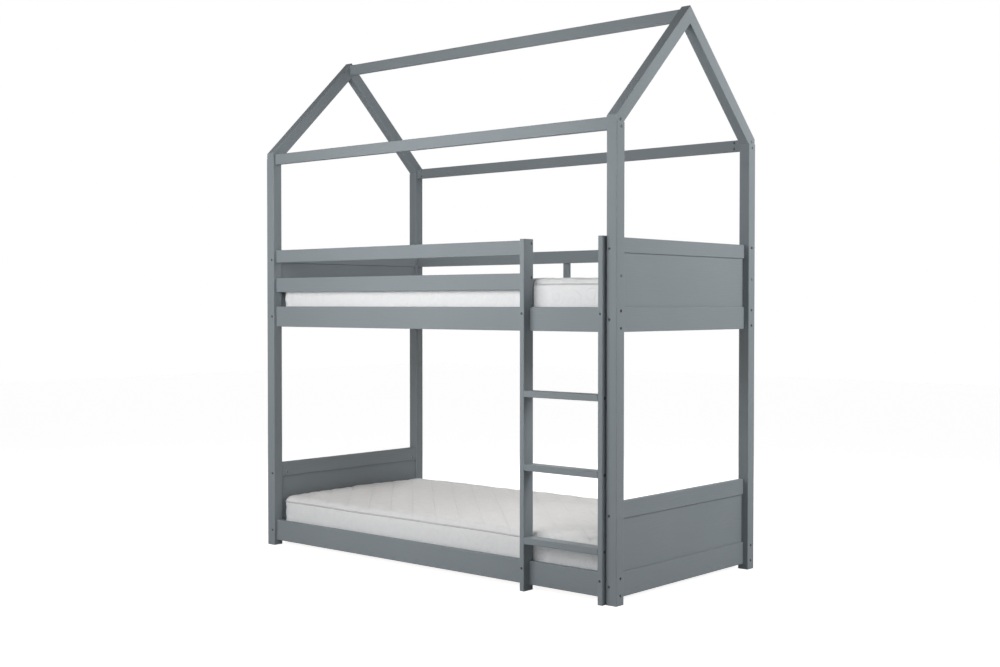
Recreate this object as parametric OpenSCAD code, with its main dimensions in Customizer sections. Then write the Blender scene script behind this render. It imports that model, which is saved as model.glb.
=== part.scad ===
// House-frame bunk bed: one single bed over another, with a fixed ladder and a
// pitched roof frame. Millimetres, +Z up. The origin lies on the floor at the centre
// of the footprint. +X runs along the bed, and the ladder stands at the front, at -Y.

/* [Mattresses] */
// Length of each mattress
mattress_l = 1900; // [1800:10:2000]
// Width of each mattress
mattress_w = 900; // [800:10:1000]
// Thickness of each mattress
mattress_t = 148; // [100:1:170]
// Radius of a mattress's upright corners
mattress_corner_r = 45; // [30:1:80]
// Room between a mattress and each end board
mattress_gap_l = 5; // [3:0.5:15]
// Room between a mattress and each side rail
mattress_gap_w = 3; // [2:0.5:10]

/* [Posts] */
// Side of a square post
post = 48; // [46:1:56]
// Height of the posts, from the floor to the feet of the rafters
post_h = 1785; // [1700:5:1900]
// Height of the upper bed's rails above the lower bed's rails
bunk_rise = 989; // [900:1:1050]
// Depth of the joint in each post below the upper rails
seam_drop = 3; // [1:0.5:20]

/* [Side rails and end boards] */
// Height of the lower rails above the floor
low_z = 22; // [10:1:60]
// Thickness of every rail
rail_t = 22; // [20:1:28]
// Height of a side rail, and of an end board's bottom rail
rail_h = 93; // [86:1:110]
// Set-back of the side rails from the outside of the posts
side_set = 15; // [8:0.5:20]
// Set-back of the end boards from the outside of the posts
end_set = 23; // [16:0.5:24]
// Height of a lower end board
low_board_h = 358; // [300:1:450]
// Height of an upper end board
up_board_h = 352; // [320:1:420]
// Height of a lower end board's top rail
low_cap_h = 65; // [55:1:90]
// Height of an upper end board's top rail
up_cap_h = 57; // [55:1:80]
// Thickness of an end board's panel
panel_t = 8; // [6:0.5:12]
// Depth of the panel's edge in the groove of a rail
panel_tongue = 6; // [4:0.5:6]

/* [Guards] */
// Height of a guard's top rail
guard_h = 57; // [50:1:70]
// Height of the front guard's middle rail
mid_h = 65; // [50:1:75]
// Gap between the front guard's two rails
guard_gap = 71; // [60:1:75]
// Width of the upright behind the rear guard rail
support_w = 35; // [24:1:60]
// Thickness of the upright behind the rear guard rail
support_t = 15; // [14:0.5:24]

/* [Slats] */
// Number of slats under each mattress
slat_n = 14; // [10:1:18]
// Width of a slat
slat_w = 68; // [50:1:80]
// Thickness of a slat
slat_t = 16; // [14:0.5:22]
// Width of a slat bearer
bearer_w = 20; // [16:1:30]
// Height of a slat bearer
bearer_h = 28; // [24:1:36]
// Height of a slat bearer above the underside of its rail
bearer_rise = 8; // [0:0.5:16]
// Distance from a post to the end of a slat bearer
bearer_stop = 50; // [46:1:80]
// Distance from the end of a bearer to the first slat
slat_margin = 4; // [0:1:20]
// Gap between a slat's end and the side rail
slat_gap = 3; // [1:0.5:6]

/* [Ladder] */
// Clear width between the ladder's stiles
ladder_clear = 356; // [300:1:450]
// Thickness of a ladder stile
stile_t = 22; // [20:1:30]
// Depth of a ladder stile, from its front to the inside of the rails
stile_d = 57; // [50:1:75]
// Gap between the ladder and the post beside it
stile_gap = 2; // [1:0.5:20]
// Height of the stiles above the guard
stile_over = 4; // [0:1:40]
// Thickness of a rung
rung_t = 25; // [20:1:35]
// Depth of a rung, from its front to its back
rung_d = 57; // [50:1:75]
// Height of the bottom rung's underside above the floor
rung_first_z = 185; // [150:1:260]
// Depth of the top rung's underside below the upper side rail
rung_last_drop = 256; // [200:1:320]

/* [Roof] */
// Slope of the roof, in degrees
roof_angle = 44.25; // [38:0.25:50]
// Width of a rafter along the bed
rafter_w = 44; // [40:1:46]
// Depth of a rafter, square to its slope
rafter_d = 51; // [50:1:70]
// Thickness of the eave and ridge beams
beam_t = 26; // [22:1:32]
// Height of the eave and ridge beams
beam_h = 47; // [44:1:56]
// Set-back of the eave beams from the outside of the posts
beam_set = 12; // [8:0.5:15]
// Height of the eave beams above the tops of the posts
beam_rise = 20; // [17:0.5:26]
// Depth of the ridge beam's top below the point of the gable
ridge_drop = 12; // [8:0.5:16]

/* [Fastenings] */
// Diameter of a frame bolt's shank
bolt_d = 6; // [5:0.5:7]
// Length of a frame bolt below its head
bolt_l = 80; // [72:1:90]
// Diameter of a frame bolt's head
bolt_head_d = 10; // [9:0.5:11]
// Height of a frame bolt's head
bolt_head_h = 6; // [4:0.5:6.5]
// Depth of the recess for a frame bolt's head
recess_h = 8; // [7:0.5:10]
// Distance between the two bolts in the end of a side rail
bolt_pitch = 64; // [60:1:68]
// Offset of a single bolt from the centre line of its rail
bolt_shift = 16; // [14:0.5:17]
// Distance from a post to the barrel nuts
nut_in = 30; // [24:1:34]
// Diameter of a barrel nut
nut_d = 10; // [9:0.5:12]
// Length of a barrel nut
nut_l = 14; // [12:0.5:16]
// Length of the threaded inserts that hold the ladder
insert_l = 13; // [10:0.5:15]
// Diameter of a dowel
dowel_d = 8; // [6:0.5:9]
// Length of a dowel in a rail or a beam
dowel_in_rail = 25; // [20:1:35]
// Length of a dowel in the side of a post or stile
dowel_in_post = 9; // [6:0.5:10]
// Distance between a single bolt and its dowel
dowel_gap = 20; // [18:1:22]
// Length of the seam pins and roof dowels in each piece
pin_in = 24; // [20:1:26]
// Offset of the seam pins and roof dowels from the post's centre
pin_off = 12; // [11.5:0.25:13]
// Diameter of a connecting screw
connector_d = 6; // [5:0.5:7]
// Length of a connecting screw
connector_l = 50; // [40:1:60]
// Diameter of a wood screw
screw_d = 4; // [3.5:0.5:5]
// Length of a bearer screw
bearer_screw_l = 35; // [30:1:37]
// Length of a slat screw
slat_screw_l = 25; // [22:1:28]

/* [Finish] */
// Rounding of the long edges of the wood
edge_r = 3; // [1:0.5:4]

/* [Hidden] */
$fn = 48;

// Colours
PAINT = [0.45, 0.49, 0.50];
BARE_WOOD = [0.80, 0.68, 0.50];
STEEL = [0.62, 0.63, 0.65];
QUILT = [0.93, 0.93, 0.92];
PLASTIC = [0.30, 0.32, 0.33];

// Signs that name the ends and sides
LEFT = -1;
RIGHT = 1;
FRONT = -1;
REAR = 1;

// Clearances
hole_clear = 0.5;    // around a bolt's shank, and in the recess for its head
snug_clear = 0.1;    // around dowels, screws, barrel nuts and inserts
end_clear = 0.5;     // past the end of a dowel
tip_clear = 2;       // past the tip of a bolt
groove_clear = 0.2;  // on each side of a panel, and past its edge
notch_clear = 0.2;   // around a side rail in a ladder stile
rest_clear = 0.3;    // between a mattress and its slats
overcut = 1;         // how far a cut runs past the face that it opens

// The four corners: posts, and the faces of rails and boards between them
half_l = mattress_l / 2 + mattress_gap_l + rail_t + end_set;
half_w = mattress_w / 2 + mattress_gap_w + rail_t + side_set;
post_in_x = half_l - post;
post_in_y = half_w - post;
post_mid_x = half_l - post / 2;
post_mid_y = half_w - post / 2;
rail_out_y = half_w - side_set;
rail_in_y = rail_out_y - rail_t;
rail_mid_y = rail_out_y - rail_t / 2;
board_out_x = half_l - end_set;
board_in_x = board_out_x - rail_t;
board_mid_x = board_out_x - rail_t / 2;

// Levels
up_z = low_z + bunk_rise;
seam_z = up_z - seam_drop;
low_top = low_z + low_board_h;
up_top = up_z + up_board_h;
mid_top = up_top - guard_h - guard_gap;
mid_z = mid_top - mid_h;

// Slats and mattresses, above the underside of their side rail
bearer_top = bearer_rise + bearer_h;
slat_top = bearer_top + slat_t;
bearer_half = post_in_x - bearer_stop;
first_slat_x = bearer_half - slat_margin - slat_w / 2;
slat_half = rail_in_y - slat_gap;

// Ladder
stile_back = rail_in_y;
stile_front = stile_back + stile_d;
stile_right_x = post_in_x - stile_gap - stile_t / 2;
stile_left_x = stile_right_x - ladder_clear - stile_t;
guard_end_x = stile_left_x - stile_t / 2;
rung_last_z = up_z - rung_last_drop;
rung_mid_z = (rung_first_z + rung_last_z) / 2;
ladder_bolt_shift = bolt_pitch / 2 - nut_d - hole_clear * 3;
ladder_bolt_l = stile_front - rail_out_y - recess_h + insert_l + tip_clear;

// Roof: a rafter's seat is as deep as the post, and its foot is cut upright above it
rafter_v = rafter_d / cos(roof_angle);
apex_z = post_h + rafter_v + post_in_y * tan(roof_angle);
rafter_mid_x = post_in_x + rafter_w / 2;
rafter_out_x = post_in_x + rafter_w;
rafter_l = half_w / cos(roof_angle) + rafter_d;
eave_top = post_h + beam_rise;
eave_out_y = half_w - beam_set;
eave_mid_y = eave_out_y - beam_t / 2;
ridge_top = apex_z - ridge_drop;
ridge_mid_z = ridge_top - beam_h / 2;
eave_bolt_drop = 17;          // from the top of a post down to its eave bolt
foot_bolt_rise = 9;           // from a rafter's seat up to its eave bolt
ridge_screw_y = beam_t / 4;   // from the mitre of the gable to each ridge screw
ridge_screw_d = 5;
ridge_screw_l = rafter_w + 36;
apex_dowel_drop = 13;         // from the ridge screws down to the gable's dowel

// Bolt heights
function rail_bolts(z) = [z + rail_h / 2 - bolt_pitch / 2, z + rail_h / 2 + bolt_pitch / 2];
function base_bolt(z) = z + rail_h / 2;
function cap_bolt(top, h) = top - h / 2 - bolt_shift;
guard_bolt_z = up_top - guard_h / 2 + bolt_shift;
mid_bolt_z = mid_z + mid_h / 2 + bolt_shift;
board_bolt_heights = [base_bolt(low_z), cap_bolt(low_top, low_cap_h),
    base_bolt(up_z), cap_bolt(up_top, up_cap_h)];
ladder_bolt_z = [for (z = [low_z, up_z]) z + rail_h / 2 + ladder_bolt_shift];

// Guard rails that meet a post at one corner
function guard_heights(sx, sy) =
    sy == REAR ? [guard_bolt_z] : sx == LEFT ? [guard_bolt_z, mid_bolt_z] : [];

// Bearer screws stand between the slats
slat_pitch = 2 * first_slat_x / (slat_n - 1);
bearer_screws = [-first_slat_x + slat_pitch / 2 : slat_pitch * 2 : first_slat_x];
bearer_screw_rise = 10;       // above the underside of a bearer
support_screw_gap = 28;       // between the two screws in each end of the upright

// Fastening details
socket_d = 5.8;               // across the corners of a bolt's hexagon socket
socket_h = 3;
driver_w = 0.9;               // slot of a wood screw's cross recess
driver_h = 1.6;
cap_sunk = 1.5;               // depth of a cover cap below the face of the post
cap_h = 2;
cap_stem_h = 12;

// ---- Building blocks ----

// Rectangle from (a0, b0) to (a1, b1) with round corners
module rounded(a0, a1, b0, b1, r = edge_r) {
    translate([a0 + r, b0]) square([a1 - a0 - 2 * r, b1 - b0]);
    translate([a0, b0 + r]) square([a1 - a0, b1 - b0 - 2 * r]);
    for (a = [a0 + r, a1 - r], b = [b0 + r, b1 - r]) translate([a, b]) circle(r = r);
}

// Bars with round long edges, along X, Y and Z
module bar_x(x, y, z, r = edge_r) {
    translate([x[0], 0, 0])
        rotate([90, 0, 90])
            linear_extrude(x[1] - x[0]) rounded(y[0], y[1], z[0], z[1], r);
}
module bar_y(x, y, z, r = edge_r) {
    translate([0, y[1], 0])
        rotate([90, 0, 0])
            linear_extrude(y[1] - y[0]) rounded(x[0], x[1], z[0], z[1], r);
}
module bar_z(x, y, z, r = edge_r) {
    translate([0, 0, z[0]])
        linear_extrude(z[1] - z[0]) rounded(x[0], x[1], y[0], y[1], r);
}

// Moves the whole bed so that the origin lies at the centre of its footprint, ladder included
module centred() { translate([0, (stile_front - half_w) / 2, 0]) children(); }

// Turns a shape that points along +Z to point along X, Y or Z, towards the sign s
module along_x(p, s = 1) { translate(p) rotate([0, 90 * s, 0]) children(); }
module along_y(p, s = 1) { translate(p) rotate([-90 * s, 0, 0]) children(); }
module downward(p) { translate(p) rotate([180, 0, 0]) children(); }

// Mirrors a shape made for the front right corner into any corner
module corner(sx, sy) {
    mirror([sx == LEFT ? 1 : 0, 0, 0]) mirror([0, sy == REAR ? 1 : 0, 0]) children();
}

// ---- Fastenings, each pointing along +Z from the face that it enters ----

module bolt(l) {
    difference() {
        translate([0, 0, recess_h - bolt_head_h]) cylinder(d = bolt_head_d, h = bolt_head_h);
        translate([0, 0, recess_h - bolt_head_h - overcut])
            cylinder(d = socket_d, h = socket_h + overcut, $fn = 6);
    }
    translate([0, 0, recess_h]) cylinder(d = bolt_d, h = l);
}

module bolt_cut(l) {
    translate([0, 0, -overcut]) cylinder(d = bolt_head_d + 4 * hole_clear, h = recess_h + overcut);
    cylinder(d = bolt_d + 2 * hole_clear, h = recess_h + l + tip_clear);
}

// Pin centred on the joint, reaching a below it and b above it
module pin(a, b) { translate([0, 0, -a]) cylinder(d = dowel_d, h = a + b); }
module pin_cut(a, b) {
    translate([0, 0, -a - end_clear])
        cylinder(d = dowel_d + 2 * snug_clear, h = a + b + 2 * end_clear);
}

// Countersunk screw whose head is as wide as twice its shank
module screw(d, l) {
    difference() {
        union() {
            cylinder(d1 = 2 * d, d2 = d, h = d / 2);
            cylinder(d = d, h = l);
        }
        for (a = [0, 90]) rotate(a)
            translate([-d / 2, -driver_w / 2, -overcut]) cube([d, driver_w, driver_h + overcut]);
    }
}

module screw_cut(d, l) {
    translate([0, 0, -overcut])
        cylinder(d1 = 2 * d + 2 * snug_clear + 2 * overcut, d2 = d + 2 * snug_clear, h = d / 2 + overcut);
    cylinder(d = d + 2 * snug_clear, h = l + end_clear);
}

// Barrel nut lying across a rail or beam
module barrel_nut() {
    difference() {
        cylinder(d = nut_d, h = nut_l, center = true);
        rotate([90, 0, 0]) cylinder(d = bolt_d + 2 * snug_clear, h = 2 * nut_d, center = true);
    }
}

// ---- Stations at the front right corner ----

// Bolt along X into the end of a rail or beam; the barrel nut goes in from the inside
module rail_bolt_cut(x_out, y_mid, t, z) {
    along_x([x_out, -y_mid, z], -1) bolt_cut(bolt_l);
    along_y([post_in_x - nut_in, -y_mid - nut_l / 2, z])
        cylinder(d = nut_d + 2 * snug_clear, h = nut_l / 2 + t / 2 + overcut);
}

// Bolt along Y into the end of an end board's rail
module board_bolt_cut(z) {
    along_y([board_mid_x, -half_w, z]) bolt_cut(bolt_l);
    along_x([board_mid_x + nut_l / 2, -post_in_y + nut_in, z], -1)
        cylinder(d = nut_d + 2 * snug_clear, h = nut_l / 2 + rail_t / 2 + overcut);
}

// Dowel along Y beside that bolt
module board_dowel_cut(z) {
    along_y([board_mid_x, -post_in_y, z + dowel_gap]) pin_cut(dowel_in_post, dowel_in_rail);
}

// Guard rail's bolt and dowel along X
module guard_cut(z) {
    rail_bolt_cut(half_l, rail_mid_y, rail_t, z);
    along_x([post_in_x, -rail_mid_y, z - dowel_gap], -1) pin_cut(dowel_in_post, dowel_in_rail);
}

// Two pins or dowels that stand on a post
module post_pair(z) {
    for (s = [-1, 1]) translate([post_mid_x + s * pin_off, -post_mid_y - s * pin_off, z]) children();
}
module roof_pair() {
    for (s = [-1, 1]) translate([rafter_mid_x, -post_mid_y + s * pin_off, post_h]) children();
}

// Eave bolts: one through the post and one through the rafter's foot
module eave_cuts() {
    rail_bolt_cut(half_l, eave_mid_y, beam_t, post_h - eave_bolt_drop);
    rail_bolt_cut(rafter_out_x, eave_mid_y, beam_t, post_h + foot_bolt_rise);
}

// ---- Posts ----

module post_lower(sx, sy) {
    color(PAINT) centred() corner(sx, sy) difference() {
        bar_z([post_in_x, half_l], [-half_w, -post_in_y], [0, seam_z]);
        for (z = rail_bolts(low_z)) rail_bolt_cut(half_l, rail_mid_y, rail_t, z);
        for (z = [base_bolt(low_z), cap_bolt(low_top, low_cap_h)]) {
            board_bolt_cut(z);
            board_dowel_cut(z);
        }
        post_pair(seam_z) pin_cut(pin_in, pin_in);
    }
}

// Every upper post has the hole for the middle guard rail; a cap covers it where it is spare
module post_upper(sx, sy) {
    color(PAINT) centred() corner(sx, sy) difference() {
        bar_z([post_in_x, half_l], [-half_w, -post_in_y], [seam_z, post_h]);
        for (z = rail_bolts(up_z)) rail_bolt_cut(half_l, rail_mid_y, rail_t, z);
        for (z = guard_heights(sx, sy)) guard_cut(z);
        rail_bolt_cut(half_l, rail_mid_y, rail_t, mid_bolt_z);
        for (z = [base_bolt(up_z), cap_bolt(up_top, up_cap_h)]) {
            board_bolt_cut(z);
            board_dowel_cut(z);
        }
        post_pair(seam_z) pin_cut(pin_in, pin_in);
        roof_pair() pin_cut(pin_in, pin_in);
        rail_bolt_cut(half_l, eave_mid_y, beam_t, post_h - eave_bolt_drop);
    }
}

// ---- End boards: a panel held in the grooves of two rails ----

module panel_groove(z0, z1) {
    translate([board_mid_x - panel_t / 2 - groove_clear, -post_in_y - overcut, z0 - groove_clear])
        cube([panel_t + 2 * groove_clear, 2 * (post_in_y + overcut), z1 - z0 + 2 * groove_clear]);
}

module board_rail(sx, z0, z1, bolt_z, panel_z0, panel_z1) {
    color(PAINT) centred() corner(sx, FRONT) difference() {
        bar_y([board_in_x, board_out_x], [-post_in_y, post_in_y], [z0, z1]);
        for (sy = [FRONT, REAR]) corner(RIGHT, sy) {
            board_bolt_cut(bolt_z);
            board_dowel_cut(bolt_z);
        }
        panel_groove(panel_z0, panel_z1);
    }
}

module board_top_rail(sx, z, top, cap_h) {
    board_rail(sx, top - cap_h, top, cap_bolt(top, cap_h),
        z + rail_h - panel_tongue, top - cap_h + panel_tongue);
}

module board_bottom_rail(sx, z, top, cap_h) {
    board_rail(sx, z, z + rail_h, base_bolt(z),
        z + rail_h - panel_tongue, top - cap_h + panel_tongue);
}

module board_panel(sx, z, top, cap_h) {
    color(PAINT) centred() corner(sx, FRONT)
        translate([board_mid_x - panel_t / 2, -post_in_y, z + rail_h - panel_tongue])
            cube([panel_t, 2 * post_in_y, top - cap_h - z - rail_h + 2 * panel_tongue]);
}

// ---- Side rails ----

// Hole for a threaded insert, and for the tip of the bolt that runs into it
module insert_cut(x, z) {
    along_y([x, -rail_out_y - overcut, z]) {
        cylinder(d = nut_d + 2 * snug_clear, h = overcut + insert_l + snug_clear);
        cylinder(d = bolt_d + 2 * hole_clear, h = overcut + insert_l + 2 * tip_clear);
    }
}

module bearer_screw_cuts(z) {
    for (x = bearer_screws)
        along_y([x, -rail_in_y + bearer_w, z + bearer_rise + bearer_screw_rise], -1)
            screw_cut(screw_d, bearer_screw_l);
}

module side_rail(sy, z) {
    color(PAINT) centred() corner(RIGHT, sy) difference() {
        bar_x([-post_in_x, post_in_x], [-rail_out_y, -rail_in_y], [z, z + rail_h]);
        for (sx = [LEFT, RIGHT], bz = rail_bolts(z))
            corner(sx, FRONT) rail_bolt_cut(half_l, rail_mid_y, rail_t, bz);
        bearer_screw_cuts(z);
        if (sy == FRONT) for (x = [stile_left_x, stile_right_x])
            insert_cut(x, z + rail_h / 2 + ladder_bolt_shift);
        if (sy == REAR && z == up_z) mirror([0, 1, 0]) support_screw_cuts();
    }
}

// ---- Slats and their bearers ----

module slat_screw_places(z) {
    for (i = [0 : slat_n - 1], s = [-1, 1])
        downward([-first_slat_x + i * slat_pitch, s * (rail_in_y - bearer_w / 2), z + slat_top])
            children();
}

module slat_bearer(sy, z) {
    color(BARE_WOOD) centred() corner(RIGHT, sy) difference() {
        bar_x([-bearer_half, bearer_half], [-rail_in_y, -rail_in_y + bearer_w],
            [z + bearer_rise, z + bearer_top], edge_r / 2);
        bearer_screw_cuts(z);
        slat_screw_places(z) screw_cut(screw_d, slat_screw_l);
    }
}

module slats(z) {
    color(BARE_WOOD) centred() difference() {
        for (i = [0 : slat_n - 1])
            translate([-first_slat_x + i * slat_pitch, 0, 0])
                bar_y([-slat_w / 2, slat_w / 2], [-slat_half, slat_half],
                    [z + bearer_top, z + slat_top], edge_r);
        slat_screw_places(z) screw_cut(screw_d, slat_screw_l);
    }
}

// ---- Guards of the upper bed ----

// Connecting screw and dowel that join a front guard rail to the left stile
module guard_stile_cut(z) {
    along_x([stile_left_x + stile_t / 2, -rail_mid_y, z], -1) screw_cut(connector_d, connector_l);
    along_x([guard_end_x, -rail_mid_y, z - dowel_gap], -1) pin_cut(dowel_in_post, dowel_in_rail);
}

module guard_rail_front(z0, z1, bolt_z) {
    color(PAINT) centred() difference() {
        bar_x([-post_in_x, guard_end_x], [-rail_out_y, -rail_in_y], [z0, z1]);
        corner(LEFT, FRONT) guard_cut(bolt_z);
        guard_stile_cut(bolt_z);
    }
}

module support_screw_places() {
    for (z = [up_top - guard_h / 2, up_z + rail_h / 2], s = [-1, 1])
        along_y([0, rail_out_y + support_t, z + s * support_screw_gap / 2], -1) children();
}
module support_screw_cuts() {
    support_screw_places() screw_cut(screw_d, support_t + rail_t / 2);
}

module guard_rail_rear() {
    color(PAINT) centred() difference() {
        bar_x([-post_in_x, post_in_x], [rail_in_y, rail_out_y], [up_top - guard_h, up_top]);
        for (sx = [LEFT, RIGHT]) corner(sx, REAR) guard_cut(guard_bolt_z);
        support_screw_cuts();
    }
}

// Upright on the outside of the rear rails, at mid-length
module guard_support_rear() {
    color(PAINT) centred() difference() {
        bar_z([-support_w / 2, support_w / 2], [rail_out_y, rail_out_y + support_t], [up_z, up_top]);
        support_screw_cuts();
    }
}

// ---- Ladder ----

// Screws along X from the outside of a stile into the end of a rung
module rung_screw_places(s, z) {
    x = s == LEFT ? guard_end_x : stile_right_x + stile_t / 2;
    for (q = [0.25, 0.75])
        along_x([x, -stile_front + q * rung_d, z + rung_t / 2], -s) children();
}

module ladder_stile(s) {
    x = s == LEFT ? stile_left_x : stile_right_x;
    color(PAINT) centred() difference() {
        intersection() {
            bar_z([x - stile_t / 2, x + stile_t / 2], [-stile_front, -stile_back],
                [0, up_top + stile_over]);
            bar_x([x - stile_t / 2, x + stile_t / 2], [-stile_front, -stile_back],
                [-2 * edge_r, up_top + stile_over]);
        }
        for (z = [low_z, up_z])
            translate([x - stile_t, -rail_out_y - notch_clear, z - notch_clear])
                cube([2 * stile_t, rail_t + notch_clear + overcut, rail_h + 2 * notch_clear]);
        for (z = ladder_bolt_z) along_y([x, -stile_front, z]) bolt_cut(ladder_bolt_l);
        for (z = [rung_first_z, rung_mid_z, rung_last_z])
            rung_screw_places(s, z) screw_cut(connector_d, connector_l);
        if (s == LEFT) for (z = [guard_bolt_z, mid_bolt_z]) guard_stile_cut(z);
    }
}

module ladder_rung(z) {
    color(PAINT) centred() difference() {
        bar_x([stile_left_x + stile_t / 2, stile_right_x - stile_t / 2],
            [-stile_front, -stile_front + rung_d], [z, z + rung_t]);
        for (s = [LEFT, RIGHT]) rung_screw_places(s, z) screw_cut(connector_d, connector_l);
    }
}

// ---- Roof frame ----

module eave_beam(sy) {
    color(PAINT) centred() corner(RIGHT, sy) difference() {
        bar_x([-post_in_x, post_in_x], [-eave_out_y, -eave_out_y + beam_t],
            [eave_top - beam_h, eave_top]);
        for (sx = [LEFT, RIGHT]) corner(sx, FRONT) eave_cuts();
    }
}

module ridge_screw_places() {
    for (sx = [LEFT, RIGHT], sy = [FRONT, REAR])
        corner(sx, sy) along_x([rafter_out_x, -ridge_screw_y, ridge_mid_z], -1) children();
}

module ridge_beam() {
    color(PAINT) centred() difference() {
        bar_x([-post_in_x, post_in_x], [-beam_t / 2, beam_t / 2], [ridge_top - beam_h, ridge_top]);
        ridge_screw_places() screw_cut(ridge_screw_d, ridge_screw_l);
    }
}

module apex_dowel_place() {
    along_y([rafter_mid_x, 0, ridge_mid_z - apex_dowel_drop]) children();
}

// Sloping bar, cut level on the post, upright at the outside and upright at the gable's mitre
module rafter(sx, sy) {
    color(PAINT) centred() corner(sx, sy) difference() {
        intersection() {
            translate([0, -post_in_y, post_h])
                rotate([roof_angle, 0, 0])
                    bar_y([post_in_x, rafter_out_x], [-2 * post, rafter_l], [0, rafter_d]);
            translate([post_in_x - overcut, -half_w, post_h])
                cube([rafter_w + 2 * overcut, half_w, apex_z]);
        }
        roof_pair() pin_cut(pin_in, pin_in);
        rail_bolt_cut(rafter_out_x, eave_mid_y, beam_t, post_h + foot_bolt_rise);
        apex_dowel_place() pin_cut(pin_in, pin_in);
        along_x([rafter_out_x, -ridge_screw_y, ridge_mid_z], -1) screw_cut(ridge_screw_d, ridge_screw_l);
    }
}

// ---- Mattresses ----

module mattress(z) {
    color(QUILT) centred()
        bar_z([-mattress_l / 2, mattress_l / 2], [-mattress_w / 2, mattress_w / 2],
            [z + slat_top + rest_clear, z + slat_top + rest_clear + mattress_t], mattress_corner_r);
}

// ---- Groups of like fastenings ----

module post_seam_pins() {
    color(BARE_WOOD) centred() for (sx = [LEFT, RIGHT], sy = [FRONT, REAR])
        corner(sx, sy) post_pair(seam_z) pin(pin_in, pin_in);
}

module roof_dowels() {
    color(BARE_WOOD) centred() for (sx = [LEFT, RIGHT]) {
        for (sy = [FRONT, REAR]) corner(sx, sy) roof_pair() pin(pin_in, pin_in);
        corner(sx, FRONT) apex_dowel_place() pin(pin_in, pin_in);
    }
}

module rail_dowels() {
    color(BARE_WOOD) centred() {
        for (sx = [LEFT, RIGHT], sy = [FRONT, REAR]) corner(sx, sy) {
            for (z = board_bolt_heights)
                along_y([board_mid_x, -post_in_y, z + dowel_gap]) pin(dowel_in_post, dowel_in_rail);
            for (z = guard_heights(sx, sy))
                along_x([post_in_x, -rail_mid_y, z - dowel_gap], -1) pin(dowel_in_post, dowel_in_rail);
        }
        for (z = [guard_bolt_z, mid_bolt_z])
            along_x([guard_end_x, -rail_mid_y, z - dowel_gap], -1) pin(dowel_in_post, dowel_in_rail);
    }
}

// Height, depth and outside face of each bolt along X at one corner
function x_bolts(sx, sy) = concat(
    [for (z = concat(rail_bolts(low_z), rail_bolts(up_z), guard_heights(sx, sy)))
        [half_l, rail_mid_y, z]],
    [[half_l, eave_mid_y, post_h - eave_bolt_drop],
     [rafter_out_x, eave_mid_y, post_h + foot_bolt_rise]]);

module frame_bolts() {
    color(STEEL) centred() for (sx = [LEFT, RIGHT], sy = [FRONT, REAR]) corner(sx, sy) {
        for (b = x_bolts(sx, sy)) along_x([b[0], -b[1], b[2]], -1) bolt(bolt_l);
        for (z = board_bolt_heights) along_y([board_mid_x, -half_w, z]) bolt(bolt_l);
    }
}

module barrel_nuts() {
    color(STEEL) centred() for (sx = [LEFT, RIGHT], sy = [FRONT, REAR]) corner(sx, sy) {
        for (b = x_bolts(sx, sy))
            translate([post_in_x - nut_in, -b[1], b[2]])
                rotate([90, 0, 0]) rotate([0, 0, 90]) barrel_nut();
        for (z = board_bolt_heights)
            translate([board_mid_x, -post_in_y + nut_in, z]) rotate([0, 90, 0]) barrel_nut();
    }
}

module ladder_bolts() {
    color(STEEL) centred() for (x = [stile_left_x, stile_right_x], z = ladder_bolt_z)
        along_y([x, -stile_front, z]) bolt(ladder_bolt_l);
}

module threaded_inserts() {
    color(STEEL) centred() for (x = [stile_left_x, stile_right_x], z = ladder_bolt_z)
        along_y([x, -rail_out_y, z]) difference() {
            cylinder(d = nut_d, h = insert_l);
            translate([0, 0, -overcut]) cylinder(d = bolt_d + 2 * snug_clear, h = insert_l + 2 * overcut);
        }
}

module connecting_screws() {
    color(STEEL) centred() {
        for (s = [LEFT, RIGHT], z = [rung_first_z, rung_mid_z, rung_last_z])
            rung_screw_places(s, z) screw(connector_d, connector_l);
        for (z = [guard_bolt_z, mid_bolt_z])
            along_x([stile_left_x + stile_t / 2, -rail_mid_y, z], -1) screw(connector_d, connector_l);
    }
}

module wood_screws() {
    color(STEEL) centred() {
        for (sy = [FRONT, REAR], z = [low_z, up_z], x = bearer_screws) corner(RIGHT, sy)
            along_y([x, -rail_in_y + bearer_w, z + bearer_rise + bearer_screw_rise], -1)
                screw(screw_d, bearer_screw_l);
        support_screw_places() screw(screw_d, support_t + rail_t / 2);
        ridge_screw_places() screw(ridge_screw_d, ridge_screw_l);
    }
}

module slat_screws() {
    color(STEEL) centred() for (z = [low_z, up_z]) slat_screw_places(z) screw(screw_d, slat_screw_l);
}

module hole_caps() {
    color(PLASTIC) centred() for (c = [[RIGHT, FRONT], [LEFT, REAR], [RIGHT, REAR]])
        corner(c[0], c[1]) along_x([half_l - cap_sunk, -rail_mid_y, mid_bolt_z], -1) {
            cylinder(d = bolt_head_d + 4 * hole_clear - 2 * snug_clear, h = cap_h);
            cylinder(d = bolt_d + 2 * hole_clear - 2 * snug_clear, h = cap_stem_h);
        }
}

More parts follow.
